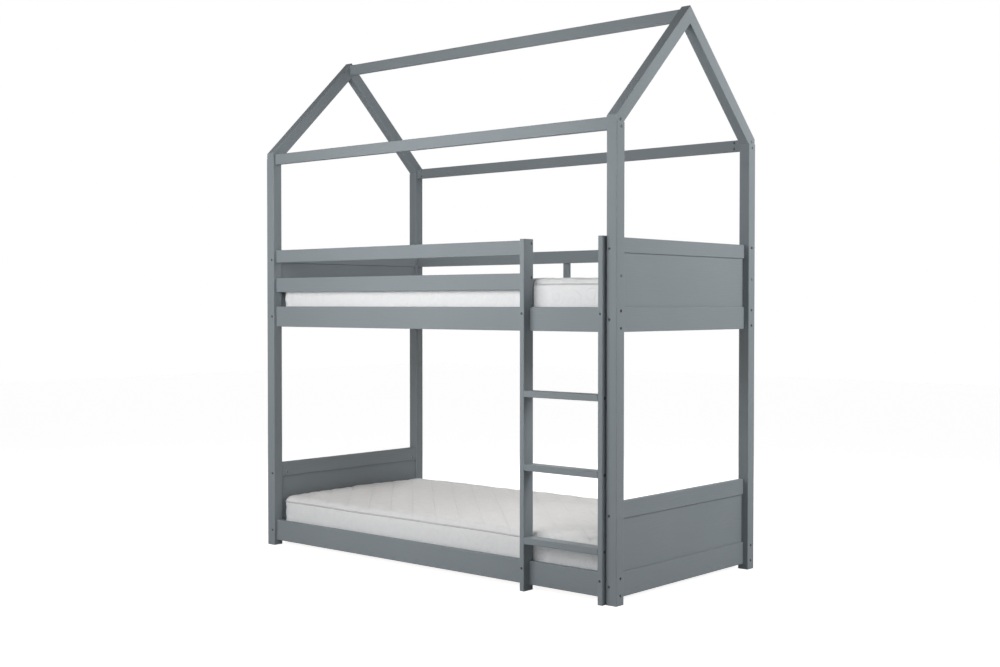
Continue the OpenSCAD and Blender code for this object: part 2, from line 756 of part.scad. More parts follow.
post_lower(LEFT, FRONT);  // post_lower_front_left
post_lower(RIGHT, FRONT);  // post_lower_front_right
post_lower(LEFT, REAR);  // post_lower_rear_left
post_lower(RIGHT, REAR);  // post_lower_rear_right
post_upper(LEFT, FRONT);  // post_upper_front_left
post_upper(RIGHT, FRONT);  // post_upper_front_right
post_upper(LEFT, REAR);  // post_upper_rear_left
post_upper(RIGHT, REAR);  // post_upper_rear_right
board_top_rail(LEFT, low_z, low_top, low_cap_h);  // end_lower_left_top_rail
board_panel(LEFT, low_z, low_top, low_cap_h);  // end_lower_left_panel
board_bottom_rail(LEFT, low_z, low_top, low_cap_h);  // end_lower_left_bottom_rail
board_top_rail(RIGHT, low_z, low_top, low_cap_h);  // end_lower_right_top_rail
board_panel(RIGHT, low_z, low_top, low_cap_h);  // end_lower_right_panel
board_bottom_rail(RIGHT, low_z, low_top, low_cap_h);  // end_lower_right_bottom_rail
board_top_rail(LEFT, up_z, up_top, up_cap_h);  // end_upper_left_top_rail
board_panel(LEFT, up_z, up_top, up_cap_h);  // end_upper_left_panel
board_bottom_rail(LEFT, up_z, up_top, up_cap_h);  // end_upper_left_bottom_rail
board_top_rail(RIGHT, up_z, up_top, up_cap_h);  // end_upper_right_top_rail
board_panel(RIGHT, up_z, up_top, up_cap_h);  // end_upper_right_panel
board_bottom_rail(RIGHT, up_z, up_top, up_cap_h);  // end_upper_right_bottom_rail
side_rail(FRONT, low_z);  // side_rail_lower_front
side_rail(REAR, low_z);  // side_rail_lower_rear
side_rail(FRONT, up_z);  // side_rail_upper_front
side_rail(REAR, up_z);  // side_rail_upper_rear
slat_bearer(FRONT, low_z);  // slat_bearer_lower_front
slat_bearer(REAR, low_z);  // slat_bearer_lower_rear
slat_bearer(FRONT, up_z);  // slat_bearer_upper_front
slat_bearer(REAR, up_z);  // slat_bearer_upper_rear
slats(low_z);  // slats_lower
slats(up_z);  // slats_upper
guard_rail_front(up_top - guard_h, up_top, guard_bolt_z);  // guard_top_rail_front
guard_rail_front(mid_z, mid_top, mid_bolt_z);  // guard_middle_rail_front
guard_rail_rear();
guard_support_rear();
ladder_stile(LEFT);  // ladder_stile_left
ladder_stile(RIGHT);  // ladder_stile_right
ladder_rung(rung_first_z);  // ladder_rung_bottom
ladder_rung(rung_mid_z);  // ladder_rung_middle
ladder_rung(rung_last_z);  // ladder_rung_top
eave_beam(FRONT);  // eave_beam_front
eave_beam(REAR);  // eave_beam_rear
ridge_beam();
rafter(LEFT, FRONT);  // rafter_front_left
rafter(RIGHT, FRONT);  // rafter_front_right
rafter(LEFT, REAR);  // rafter_rear_left
rafter(RIGHT, REAR);  // rafter_rear_right
mattress(low_z);  // mattress_lower
mattress(up_z);  // mattress_upper
post_seam_pins();
roof_dowels();
rail_dowels();
frame_bolts();
barrel_nuts();
ladder_bolts();
threaded_inserts();
connecting_screws();
wood_screws();
slat_screws();
hole_caps();
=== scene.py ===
# %% [markdown]
# # A house-frame bunk bed
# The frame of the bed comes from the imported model: posts, rails, boards, ladder and roof are
# exact solids already, with their long edges rounded. This lesson adds what a solid model
# leaves out. The wood gets a paint film with the grain showing through, and the two
# mattresses are made as quilted covers with piped edges.

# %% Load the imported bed
import math

import bpy
import numpy as np
from mathutils import Matrix, Vector


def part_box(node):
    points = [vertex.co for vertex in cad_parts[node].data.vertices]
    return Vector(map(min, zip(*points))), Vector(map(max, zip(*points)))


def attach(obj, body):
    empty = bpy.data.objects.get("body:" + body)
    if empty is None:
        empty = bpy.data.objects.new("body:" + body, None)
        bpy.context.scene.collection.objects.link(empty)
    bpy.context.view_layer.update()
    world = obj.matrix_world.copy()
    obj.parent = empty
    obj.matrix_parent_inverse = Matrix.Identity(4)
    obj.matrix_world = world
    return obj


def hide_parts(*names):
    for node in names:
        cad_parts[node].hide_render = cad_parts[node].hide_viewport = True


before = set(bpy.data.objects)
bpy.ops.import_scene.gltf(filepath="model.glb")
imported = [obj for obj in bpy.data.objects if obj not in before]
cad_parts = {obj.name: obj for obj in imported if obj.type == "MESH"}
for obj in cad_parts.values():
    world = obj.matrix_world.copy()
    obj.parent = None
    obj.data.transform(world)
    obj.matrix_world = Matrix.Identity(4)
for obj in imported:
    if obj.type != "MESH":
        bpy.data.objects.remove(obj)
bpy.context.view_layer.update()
print("nodes:", len(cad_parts))

# %% [markdown]
# ## The camera
# The straight edges of the bed fix where the photograph was taken from: a little over a metre
# up, in front of the right-hand end, with a moderately long lens. The camera is built from
# those numbers. It turns about the upright, tips down by its pitch, and rolls by almost
# nothing. There is no lens shift and no depth of field.

# %% Set up the camera
CAMERA_AT = (3.93678, -4.49677, 1.11253)
CAMERA_YAW = math.radians(41.1046)
CAMERA_PITCH = math.radians(1.2199)
CAMERA_ROLL = math.radians(0.0183)
QUARTER = math.radians(90)
SENSOR_MM = 36.0
FOCAL_PIXELS, PICTURE_PIXELS = 1352.918, 1000.0
FOCAL_MM = FOCAL_PIXELS / PICTURE_PIXELS * SENSOR_MM


def add_camera():
    """Place = move @ turn(yaw about Z) @ tip(90 degrees - pitch about X) @ turn(roll about Z)."""
    data = bpy.data.cameras.new("camera")
    data.sensor_width = SENSOR_MM
    data.lens = FOCAL_MM
    camera = bpy.data.objects.new("camera", data)
    camera.matrix_world = (
        Matrix.Translation(CAMERA_AT)
        @ Matrix.Rotation(CAMERA_YAW, 4, "Z")
        @ Matrix.Rotation(QUARTER - CAMERA_PITCH, 4, "X")
        @ Matrix.Rotation(CAMERA_ROLL, 4, "Z")
    )
    bpy.context.collection.objects.link(camera)
    return camera


bpy.context.scene.camera = add_camera()
bpy.context.scene.view_settings.view_transform = "Standard"
print("focal length %.2f mm at" % FOCAL_MM, CAMERA_AT)

# %% [markdown]
# ## Building shader trees by hand
# A material is a small graph of nodes. A few helpers keep the graphs readable. `feed` fills
# sockets from a dictionary, where a value can be a number, a colour or another node's output.
# `add_node` makes a node, feeds it and gives back its outputs, and the rest wrap the nodes that
# come up again and again.

# %% Helpers for nodes
NOISE_LOW, NOISE_HIGH = 0.3, 0.7


def feed(tree, inputs, sockets):
    """Fill inputs by name or number: an output is wired in, and any other value is set."""
    for name, value in sockets.items():
        if isinstance(value, bpy.types.NodeSocket):
            tree.links.new(value, inputs[name])
        else:
            inputs[name].default_value = value


def add_node(tree, kind, sockets=None, **settings):
    """Add a ShaderNode of one kind, set and feed it, and give back its outputs."""
    made = tree.nodes.new("ShaderNode" + kind)
    for name, value in settings.items():
        setattr(made, name, value)
    feed(tree, made.inputs, sockets or {})
    return made.outputs


def blend_colours(tree, factor, first, second, mode="MIX"):
    """first * (1 - factor) + second * factor, or another blend mode. The Mix node takes its
    colours at inputs 6 and 7 and gives the blended one at output 2."""
    return add_node(tree, "Mix", {0: factor, 6: first, 7: second},
                    data_type="RGBA", blend_type=mode)[2]


def maths(tree, operation, first, second=0.0):
    """operation(first, second) on numbers."""
    return add_node(tree, "Math", {0: first, 1: second}, operation=operation)[0]


def vector_maths(tree, operation, first, second):
    """operation(first, second) on vectors; SCALE takes a number as its second."""
    slot = "Scale" if operation == "SCALE" else 1
    return add_node(tree, "VectorMath", {0: first, slot: second}, operation=operation)[0]


def weighted(tree, *terms):
    """The sum of value * weight over the terms (value, weight)."""
    parts = [value if weight == 1 else maths(tree, "MULTIPLY", value, weight)
             for value, weight in terms]
    total = parts[0]
    for part in parts[1:]:
        total = maths(tree, "ADD", total, part)
    return total


def remap(tree, value, low, high, to_low=0.0, to_high=1.0):
    """Straight line from (low, to_low) to (high, to_high), held at both ends."""
    sockets = {"Value": value, "From Min": low, "From Max": high,
               "To Min": to_low, "To Max": to_high}
    return add_node(tree, "MapRange", sockets)["Result"]


def stretched(tree, value, low=0.0, high=1.0):
    """A noise keeps mostly between NOISE_LOW and NOISE_HIGH; this stretches it to low and high."""
    return remap(tree, value, NOISE_LOW, NOISE_HIGH, low, high)


def noise(tree, place, scale, detail, roughness=0.5):
    """Smooth noise: Fac is one value about a half, and Color holds three of them."""
    sockets = {"Vector": place, "Scale": scale, "Detail": detail, "Roughness": roughness}
    return add_node(tree, "TexNoise", sockets)


def bumped(tree, height, strength, distance):
    """A normal tilted by a height; distance is the depth in metres of a height of 1."""
    sockets = {"Height": height, "Strength": strength, "Distance": distance}
    return add_node(tree, "Bump", sockets)["Normal"]


print("helpers ready for Blender", bpy.app.version_string)

# %% [markdown]
# ## Groups and materials
# An effect that several materials share becomes a node group: a graph with named inputs and
# outputs that is built once and placed in each material with its own values. The groups here
# put out masks, heights and colours only. The Principled shader stays in the material itself,
# where its plain numbers can be read and changed.

# %% Helpers for groups and materials
NUMBER, VECTOR, COLOUR = "NodeSocketFloat", "NodeSocketVector", "NodeSocketColor"


def new_group(name, inputs, outputs):
    """An empty node group; inputs are (name, type, default) and outputs are (name, type)."""
    tree = bpy.data.node_groups.new(name, "ShaderNodeTree")
    for label, kind, default in inputs:
        socket = tree.interface.new_socket(label, in_out="INPUT", socket_type=kind)
        if default is not None:
            socket.default_value = default
    for label, kind in outputs:
        tree.interface.new_socket(label, in_out="OUTPUT", socket_type=kind)
    given = tree.nodes.new("NodeGroupInput").outputs
    return tree, given, tree.nodes.new("NodeGroupOutput").inputs


def place_group(tree, group, sockets):
    """Put a node group in a tree and give back its outputs."""
    return add_node(tree, "Group", sockets, node_tree=group)


def new_material(name):
    """A material with a bare Principled shader wired to its output."""
    material = bpy.data.materials.new(name)
    material.use_nodes = True
    tree = material.node_tree
    tree.nodes.clear()
    shader = tree.nodes.new("ShaderNodeBsdfPrincipled")
    output = tree.nodes.new("ShaderNodeOutputMaterial")
    tree.links.new(shader.outputs["BSDF"], output.inputs["Surface"])
    return material, tree, shader


print("socket types:", NUMBER, VECTOR, COLOUR)

# %% [markdown]
# ## Floor and world
# The photograph is a cut-out on white. A white floor with a soft shadow stands in for it. To
# the camera, and in reflections, the floor adds light of its own, so that it reads as
# white paper, and the world behind it is plain white. The Light Path node tells those rays from
# the ones that carry light to the bed. The world adds next to no light, which keeps narrow gaps
# dark.

# %% Floor and world
FLOOR_HALF = 14.0
FLOOR_TONE = 0.60
FLOOR_GLOW = 0.90
FLOOR_ROUGHNESS = 0.9
WORLD_LIGHT = 0.01


def seen_directly(tree):
    """1 for rays from the camera, and for those that gloss or glass sends on; else 0."""
    ray = add_node(tree, "LightPath")
    seen = maths(tree, "MAXIMUM", ray["Is Camera Ray"], ray["Is Glossy Ray"])
    return maths(tree, "MAXIMUM", seen, ray["Is Transmission Ray"])


def add_floor():
    """One square of side 2 * FLOOR_HALF at z = 0, with a material that glows where it is seen."""
    mesh = bpy.data.meshes.new("floor")
    h = FLOOR_HALF
    mesh.from_pydata([(-h, -h, 0), (h, -h, 0), (h, h, 0), (-h, h, 0)], [], [(0, 1, 2, 3)])
    floor = bpy.data.objects.new("floor", mesh)
    bpy.context.collection.objects.link(floor)
    material, tree, shader = new_material("floor_paper")
    feed(tree, shader.inputs, {"Base Color": (FLOOR_TONE, FLOOR_TONE, FLOOR_TONE, 1),
                               "Roughness": FLOOR_ROUGHNESS})
    strength = maths(tree, "MULTIPLY", seen_directly(tree), FLOOR_GLOW)
    glow = add_node(tree, "Emission", {"Strength": strength})[0]
    both = add_node(tree, "AddShader", {0: shader.outputs["BSDF"], 1: glow})[0]
    output = next(n for n in tree.nodes if n.type == "OUTPUT_MATERIAL")
    feed(tree, output.inputs, {"Surface": both})
    mesh.materials.append(material)


def set_world():
    """White where it is seen; an even grey of strength WORLD_LIGHT as light."""
    world = bpy.data.worlds.new("studio")
    world.use_nodes = True
    tree = world.node_tree
    tree.nodes.clear()
    strength = remap(tree, seen_directly(tree), low=0.0, high=1.0, to_low=WORLD_LIGHT)
    sockets = {"Color": (1, 1, 1, 1), "Strength": strength}
    back = add_node(tree, "Background", sockets)[0]
    add_node(tree, "OutputWorld", {"Surface": back})
    bpy.context.scene.world = world


add_floor()
set_world()
print("floor glow", FLOOR_GLOW, "world light", WORLD_LIGHT)

# %% [markdown]
# ## Light
# The bed is lit by six soft boxes. The key is close in front, level with the upper bunk, so the
# light falls off towards the floor and the rear posts, and the sloping tops of the rafters stay
# darker than their sides, as in the photograph. One as strong stands further off to the left,
# and a weak one low down. One stands off the right-hand end, high enough to draw a shadow under
# the top rail of each end board, with a weak one below it. The last one stands behind: it
# lights the mattress through the open back, and the bed for the views from the rear.

# %% Lamps
LAMP_WIDTH, LAMP_HEIGHT = 1.4, 1.2
LAMPS = {  # name: (place, height on the bed's middle line that it is aimed at, watts)
    "key": ((0.3, -2.15, 1.95), 1.3, 23.0),
    "front_left": ((-1.3, -2.9, 1.5), 1.3, 24.0),
    "front_low": ((0.3, -2.9, 0.7), 1.3, 7.0),
    "side": ((3.2, 0.5, 2.4), 1.2, 44.0),
    "side_low": ((3.2, 0.5, 1.2), 0.8, 12.0),
    "back": ((-1.8, 3.0, 2.2), 1.2, 51.0),
}


def add_softbox(name, at, aimed_at, watts):
    """A rectangular lamp at one point, turned to face the bed's middle line at one height."""
    data = bpy.data.lights.new(name, "AREA")
    data.shape = "RECTANGLE"
    data.size, data.size_y, data.energy = LAMP_WIDTH, LAMP_HEIGHT, watts
    lamp = bpy.data.objects.new(name, data)
    aim = Vector((0, 0, aimed_at)) - Vector(at)
    lamp.matrix_world = Matrix.Translation(at) @ aim.to_track_quat("-Z", "Y").to_matrix().to_4x4()
    lamp.visible_camera = False
    bpy.context.collection.objects.link(lamp)


for name, (at, aimed_at, watts) in LAMPS.items():
    add_softbox(name, at, aimed_at, watts)

# %% [markdown]
# ## Wood grain
# Softwood grows in rings, and sawing shows them as long lines along the plank. The group
# stretches noise along the grain: a slow noise bends the rings, a band pattern draws them, and
# a fine noise makes the fibres. It puts out a ring mask, a fibre mask and a height. It
# expects a position whose X axis runs along the grain, in metres.

# %% Node group: grain along X
WANDER_SCALE = 9.0
RING_STRETCH, RING_WANDER, RING_TILT = (0.16, 1.0, 1.0), 0.035, 0.5
FIBRE_STRETCH = (0.035, 1.0, 1.0)
RING_SHARE, FIBRE_SHARE = 0.6, 0.4


def wander(tree, place, detail, amount):
    """place + amount * (colour noise - one half), which makes straight lines drift."""
    drift = noise(tree, place, WANDER_SCALE, detail)["Color"]
    drift = vector_maths(tree, "SUBTRACT", drift, (0.5, 0.5, 0.5))
    return vector_maths(tree, "ADD", place, vector_maths(tree, "SCALE", drift, amount))


def make_grain_group():
    """rings = bands of (y, z) bent by slow noise; fibres = noise stretched along x;
    height = RING_SHARE * rings + FIBRE_SHARE * fibres."""
    tree, given, put = new_group(
        "grain_along_x",
        [("Place", VECTOR, None), ("Ring Spacing", NUMBER, 90.0), ("Ring Bend", NUMBER, 2.0),
         ("Fibre Scale", NUMBER, 420.0)],
        [("Rings", NUMBER), ("Fibres", NUMBER), ("Height", NUMBER)],
    )
    slow = vector_maths(tree, "MULTIPLY", given["Place"], RING_STRETCH)
    bent = wander(tree, slow, detail=2.0, amount=RING_WANDER)
    tilted = add_node(tree, "VectorRotate", {"Vector": bent, "Angle": RING_TILT},
                      rotation_type="X_AXIS")[0]
    rings = add_node(
        tree, "TexWave",
        {"Vector": tilted, "Scale": given["Ring Spacing"], "Distortion": given["Ring Bend"],
         "Detail": 2.0, "Detail Scale": 0.6},
        wave_type="BANDS", bands_direction="Y", wave_profile="SAW",
    )["Fac"]
    thin = vector_maths(tree, "MULTIPLY", given["Place"], FIBRE_STRETCH)
    fibres = noise(tree, thin, given["Fibre Scale"], detail=3.0, roughness=0.6)["Fac"]
    height = weighted(tree, (rings, RING_SHARE), (fibres, FIBRE_SHARE))
    feed(tree, put, {"Rings": rings, "Fibres": fibres, "Height": height})
    return tree


grain_group = make_grain_group()
print("group:", grain_group.name, "with", len(grain_group.nodes), "nodes")

# %% [markdown]
# ## Worn edges, with a painted highlight on the paint
# Paint wears first where hands and knees rub: on the rounded edges. A Bevel node gives the
# normal of a softened surface. Where it leaves the true normal, the surface is near an edge,
# and the mask rises. Noise breaks the mask up, so that no edge is worn evenly. On the painted
# frame the same mask lightens the edges, partly as worn paint and partly as a painted highlight
# along the arrises; on the blackened steel it shows brighter worn steel.

# %% Node group: worn edges, with a painted highlight on the paint
BEVEL_SAMPLES = 4
LIKE_FLAT, LIKE_EDGE = 0.995, 0.90
PATCH_FROM, PATCH_TO = 0.42, 0.62


def make_edge_group():
    """mask = patchy noise * a line that goes from 0 to 1 as the dot product of the bevelled
    and the true normal falls from LIKE_FLAT to LIKE_EDGE."""
    tree, given, put = new_group(
        "edge_wear_and_highlight",
        [("Place", VECTOR, None), ("Radius", NUMBER, 0.004), ("Patches", NUMBER, 14.0)],
        [("Mask", NUMBER)],
    )
    soft = add_node(tree, "Bevel", {"Radius": given["Radius"]}, samples=BEVEL_SAMPLES)[0]
    true = add_node(tree, "NewGeometry")["True Normal"]
    alike = add_node(tree, "VectorMath", {0: soft, 1: true}, operation="DOT_PRODUCT")
    near = remap(tree, alike["Value"], LIKE_FLAT, LIKE_EDGE)
    patch = noise(tree, given["Place"], given["Patches"], detail=4.0, roughness=0.65)["Fac"]
    patch = remap(tree, patch, PATCH_FROM, PATCH_TO)
    feed(tree, put, {"Mask": maths(tree, "MULTIPLY", near, patch)})
    return tree


edge_group = make_edge_group()
print("group:", edge_group.name, "with", len(edge_group.nodes), "nodes")

# %% [markdown]
# ## Grey paint on timber
# The frame is painted in a matt grey that leans slightly to blue-green. The film is thin, so
# the rings and fibres telegraph through as faint lines in colour, in gloss and in height, and
# the roller leaves a stipple a millimetre across. The grain runs along each bar, so there is
# one material for each direction, and a Mapping node turns the pattern. The pattern reads
# object coordinates in metres.

# %% Painted timber, one material a direction
PAINT = (0.290, 0.324, 0.345, 1)
PAINT_DEEP = (0.252, 0.285, 0.305, 1)
# Lighter paint for the edges: partly worn paint, partly a painted highlight along the arrises.
PAINT_WORN_AND_HIGHLIT = (0.385, 0.418, 0.434, 1)
PAINT_SPECULAR = 0.2
CLOUD_SCALE, STIPPLE_SCALE = 2.3, 900.0
RINGS_DEEPEN, FIBRES_DEEPEN = 0.35, 0.4
EDGE_WEAR_AND_HIGHLIGHT, EDGES_DULLED = 0.35, 0.1
STIPPLE_SHARE = 0.25
WOOD_RELIEF = 0.0004
SLOPE = math.radians(44.25)


def make_painted(name, turn, offset):
    """Colour = paint deepened by RINGS_DEEPEN * rings + FIBRES_DEEPEN * fibres + cloud, then
    lightened along the edges by the edge mask, partly worn paint and partly a painted highlight
    on the arrises; turn maps the bar's long axis to the pattern's X axis."""
    material, tree, shader = new_material(name)
    place = add_node(tree, "TexCoord")["Object"]
    along = add_node(tree, "Mapping",
                     {"Vector": place, "Rotation": turn, "Location": offset})[0]
    grain = place_group(tree, grain_group, {"Place": along})
    edges = place_group(tree, edge_group, {"Place": place})["Mask"]
    cloud = noise(tree, place, CLOUD_SCALE, detail=3.0)["Fac"]
    cloud = stretched(tree, cloud, low=-0.1, high=0.35)
    deep = weighted(tree, (grain["Rings"], RINGS_DEEPEN), (grain["Fibres"], FIBRES_DEEPEN),
                    (cloud, 1))
    film = blend_colours(tree, deep, PAINT, PAINT_DEEP)
    # Lighten the paint along the edges: partly worn paint, partly a painted highlight on the
    # arrises.
    film = blend_colours(tree, maths(tree, "MULTIPLY", edges, EDGE_WEAR_AND_HIGHLIGHT), film, PAINT_WORN_AND_HIGHLIT)
    matt = stretched(tree, grain["Fibres"], low=0.66, high=0.76)
    stipple = noise(tree, place, STIPPLE_SCALE, detail=1.0)["Fac"]
    relief = weighted(tree, (grain["Height"], 1), (stipple, STIPPLE_SHARE))
    feed(tree, shader.inputs, {
        "Base Color": film,
        "Roughness": weighted(tree, (matt, 1), (edges, EDGES_DULLED)),
        "Specular IOR Level": PAINT_SPECULAR,
        "Normal": bumped(tree, relief, strength=0.35, distance=WOOD_RELIEF),
    })
    return material


painted = {
    way: make_painted("grey_paint_" + way, turn, offset)
    for way, turn, offset in (
        ("along_x", (0, 0, 0), (0, 0, 0)),
        ("along_y", (0, 0, -QUARTER), (3.1, 0.4, 0)),
        ("along_z", (0, QUARTER, 0), (1.7, 0, 0.6)),
        ("up_the_front_slope", (-SLOPE, 0, -QUARTER), (0.9, 0.2, 0.3)),
        ("up_the_rear_slope", (SLOPE, 0, -QUARTER), (2.3, 0.7, 0.1)),
    )
}
print("painted timber:", sorted(painted))

# %% [markdown]
# ## Metal under the roof's paint
# The roof's bolts, screws and nuts do not show in the photograph, though those of the bunks do.
# Here the roof is painted after it is put together, so its metal wears the same paint. A group
# compares the height of the point with the height where the roof begins, and passes on either
# the metal's own values or the paint's.

# %% Node group: paint over the roof's metal
ROOF_FROM = 1.6
PAINT_ROUGHNESS = 0.7


def make_overpaint_group():
    """mask = 1 above ROOF_FROM; each output = metal's value * (1 - mask) + paint's value * mask."""
    tree, given, put = new_group(
        "paint_over_roof_metal",
        [("Place", VECTOR, None), ("Metal Colour", COLOUR, None), ("Metal Roughness", NUMBER, 0.4)],
        [("Colour", COLOUR), ("Roughness", NUMBER), ("Metallic", NUMBER)],
    )
    height = add_node(tree, "SeparateXYZ", {0: given["Place"]})["Z"]
    mask = maths(tree, "GREATER_THAN", height, ROOF_FROM)
    feed(tree, put, {
        "Colour": blend_colours(tree, mask, given["Metal Colour"], PAINT),
        "Roughness": remap(tree, mask, 0.0, 1.0, given["Metal Roughness"], PAINT_ROUGHNESS),
        "Metallic": maths(tree, "SUBTRACT", 1.0, mask),
    })
    return tree


def wire_metal(tree, shader, place, colour, roughness):
    """Send a metal's colour and roughness through the roof's paint to the shader."""
    sockets = {"Place": place, "Metal Colour": colour, "Metal Roughness": roughness}
    worn = place_group(tree, overpaint_group, sockets)
    feed(tree, shader.inputs, {"Base Color": worn["Colour"], "Roughness": worn["Roughness"],
                               "Metallic": worn["Metallic"]})


overpaint_group = make_overpaint_group()
print("group:", overpaint_group.name, "from z", ROOF_FROM)

# %% [markdown]
# ## Bare wood
# The slats and their bearers are planed softwood without paint, and the dowels are beech. Both
# use the grain group with warmer colours, beech with its rings closer together.

# %% Bare wood
PINE_EARLY, PINE_LATE = (0.72, 0.54, 0.33, 1), (0.50, 0.30, 0.13, 1)
BEECH_EARLY, BEECH_LATE = (0.62, 0.42, 0.26, 1), (0.47, 0.29, 0.16, 1)
PINE_RINGS, BEECH_RINGS = 110.0, 260.0


def make_bare(name, early, late, turn, ring_spacing):
    """Colour runs from early wood to late wood with the ring mask, darkened by the fibres."""
    material, tree, shader = new_material(name)
    place = add_node(tree, "TexCoord")["Object"]
    along = add_node(tree, "Mapping", {"Vector": place, "Rotation": turn})[0]
    grain = place_group(tree, grain_group, {"Place": along, "Ring Spacing": ring_spacing})
    wood = blend_colours(tree, remap(tree, grain["Rings"], low=0.35, high=1.0), early, late)
    fibres = remap(tree, grain["Fibres"], low=0.5, high=0.8, to_high=0.5)
    wood = blend_colours(tree, fibres, wood, late)
    feed(tree, shader.inputs, {
        "Base Color": wood,
        "Roughness": stretched(tree, grain["Fibres"], low=0.52, high=0.68),
        "Normal": bumped(tree, grain["Height"], strength=0.4, distance=WOOD_RELIEF),
    })
    return material


pine_along_x = make_bare("pine_along_x", PINE_EARLY, PINE_LATE, (0, 0, 0), PINE_RINGS)
pine_along_y = make_bare("pine_along_y", PINE_EARLY, PINE_LATE, (0, 0, -QUARTER), PINE_RINGS)
beech = make_bare("beech_dowel", BEECH_EARLY, BEECH_LATE, (0, QUARTER, 0), BEECH_RINGS)
print("bare wood:", pine_along_x.name, pine_along_y.name, beech.name)

# %% [markdown]
# ## Steel and plastic
# The bolts and screws whose heads show are blackened steel, which makes the dark dots on the
# posts. The hidden nuts and the slats' screws are zinc-plated, with a fine crystalline bloom.
# Both send their values through the roof's paint. The cover caps are matt moulded plastic with
# a faint texture from the mould.

# %% Steel and plastic
ZINC_DULL, ZINC_BRIGHT = (0.40, 0.41, 0.43, 1), (0.60, 0.61, 0.62, 1)
BLACK_DEEP, BLACK_PALE = (0.085, 0.087, 0.092, 1), (0.155, 0.160, 0.168, 1)
STEEL_RUBBED = (0.27, 0.27, 0.28, 1)
CAP_DARK, CAP_LIGHT = (0.120, 0.135, 0.145, 1), (0.155, 0.172, 0.182, 1)
ZINC_CELLS, ZINC_BLOOM, BLACK_BLOOM, CAP_GRAIN = 420.0, 60.0, 90.0, 1400.0
CELL_SHARE = 0.12
HEAD_EDGE, HEAD_PATCHES, HEAD_RUBBED = 0.0008, 300.0, 0.5
CAP_RELIEF = 0.0002


def make_zinc():
    """Metal whose tone and gloss follow a cloudy bloom, with a pattern of cells a few
    millimetres across over its tone."""
    material, tree, shader = new_material("zinc_plated_steel")
    place = add_node(tree, "TexCoord")["Object"]
    cells = add_node(tree, "TexVoronoi", {"Vector": place, "Scale": ZINC_CELLS})["Color"]
    bloom = noise(tree, place, ZINC_BLOOM, detail=5.0)["Fac"]
    tone = blend_colours(tree, bloom, ZINC_DULL, ZINC_BRIGHT)
    tone = blend_colours(tree, CELL_SHARE, tone, cells, mode="SOFT_LIGHT")
    wire_metal(tree, shader, place, tone, stretched(tree, bloom, low=0.28, high=0.46))
    return material


def make_blackened():
    """Near-black metal; an oily bloom changes its gloss, and worn edges show brighter steel."""
    material, tree, shader = new_material("blackened_steel")
    place = add_node(tree, "TexCoord")["Object"]
    bloom = noise(tree, place, BLACK_BLOOM, detail=4.0)["Fac"]
    edges = place_group(tree, edge_group,
                        {"Place": place, "Radius": HEAD_EDGE, "Patches": HEAD_PATCHES})
    tone = blend_colours(tree, bloom, BLACK_DEEP, BLACK_PALE)
    rubbed = maths(tree, "MULTIPLY", edges["Mask"], HEAD_RUBBED)
    tone = blend_colours(tree, rubbed, tone, STEEL_RUBBED)
    wire_metal(tree, shader, place, tone, stretched(tree, bloom, low=0.38, high=0.55))
    return material


def make_cap_plastic():
    """Matt plastic: an even grey with a fine moulded grain in height and gloss."""
    material, tree, shader = new_material("grey_cap_plastic")
    place = add_node(tree, "TexCoord")["Object"]
    mould = noise(tree, place, CAP_GRAIN, detail=2.0)["Fac"]
    feed(tree, shader.inputs, {
        "Base Color": blend_colours(tree, mould, CAP_DARK, CAP_LIGHT),
        "Roughness": stretched(tree, mould, low=0.5, high=0.62),
        "Normal": bumped(tree, mould, strength=0.3, distance=CAP_RELIEF),
    })
    return material


zinc, blackened, cap_plastic = make_zinc(), make_blackened(), make_cap_plastic()
print("metal and plastic:", zinc.name, blackened.name, cap_plastic.name)

# %% [markdown]
# ## Dress the solids
# Each solid's name says what it is, so its finish follows from how its name starts. Posts,
# stiles and the rear upright stand, end boards run across, rafters slope, and the rest runs
# along the bed. The first row that fits decides, so the fastenings come before the posts.

# %% Give every solid its finish
FINISHES = (
    (beech, "post_seam_pins", "roof_dowels", "rail_dowels"),
    (blackened, "frame_bolts", "ladder_bolts", "connecting_screws", "wood_screws"),
    (zinc, "barrel_nuts", "threaded_inserts", "slat_screws"),
    (cap_plastic, "hole_caps"),
    (pine_along_x, "slat_bearer"),
    (pine_along_y, "slats_"),
    (painted["along_z"], "post_", "ladder_stile", "guard_support"),
    (painted["along_y"], "end_"),
    (painted["up_the_front_slope"], "rafter_front"),
    (painted["up_the_rear_slope"], "rafter_rear"),
    (painted["along_x"], "side_rail", "guard_", "ladder_rung", "eave_beam", "ridge_beam"),
)


def finish_for(node_name):
    """The finish of the first row with a beginning that fits the solid's name, or None."""
    return next((row[0] for row in FINISHES if node_name.startswith(row[1:])), None)


dressed = 0
for node_name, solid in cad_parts.items():
    finish = finish_for(node_name)
    if finish is not None:
        solid.data.materials.clear()
        solid.data.materials.append(finish)
        dressed += 1
print("dressed", dressed, "of", len(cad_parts), "solids")

# %% [markdown]
# ## The mattress as a set of sewn panels
# A mattress cover is a quilted top, a border round the side, a plain underside, and a bead of
# piping over each seam. The cover is made as one closed skin: two grids pulled into the same
# rounded rectangle, joined by rings that go round the side. One function says how deep inside
# the rounded rectangle a point lies, and the rolled edges and the fading of the quilting all
# follow it.

# %% The rounded rectangle
low_corner, high_corner = (np.array(c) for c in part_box("mattress_lower"))
HALF = (high_corner - low_corner)[:2] / 2
THICK = high_corner[2] - low_corner[2]
CORNER = 0.045
BEAD = 0.0036
SEAM_DROP = 0.022
WAVER = 0.0007


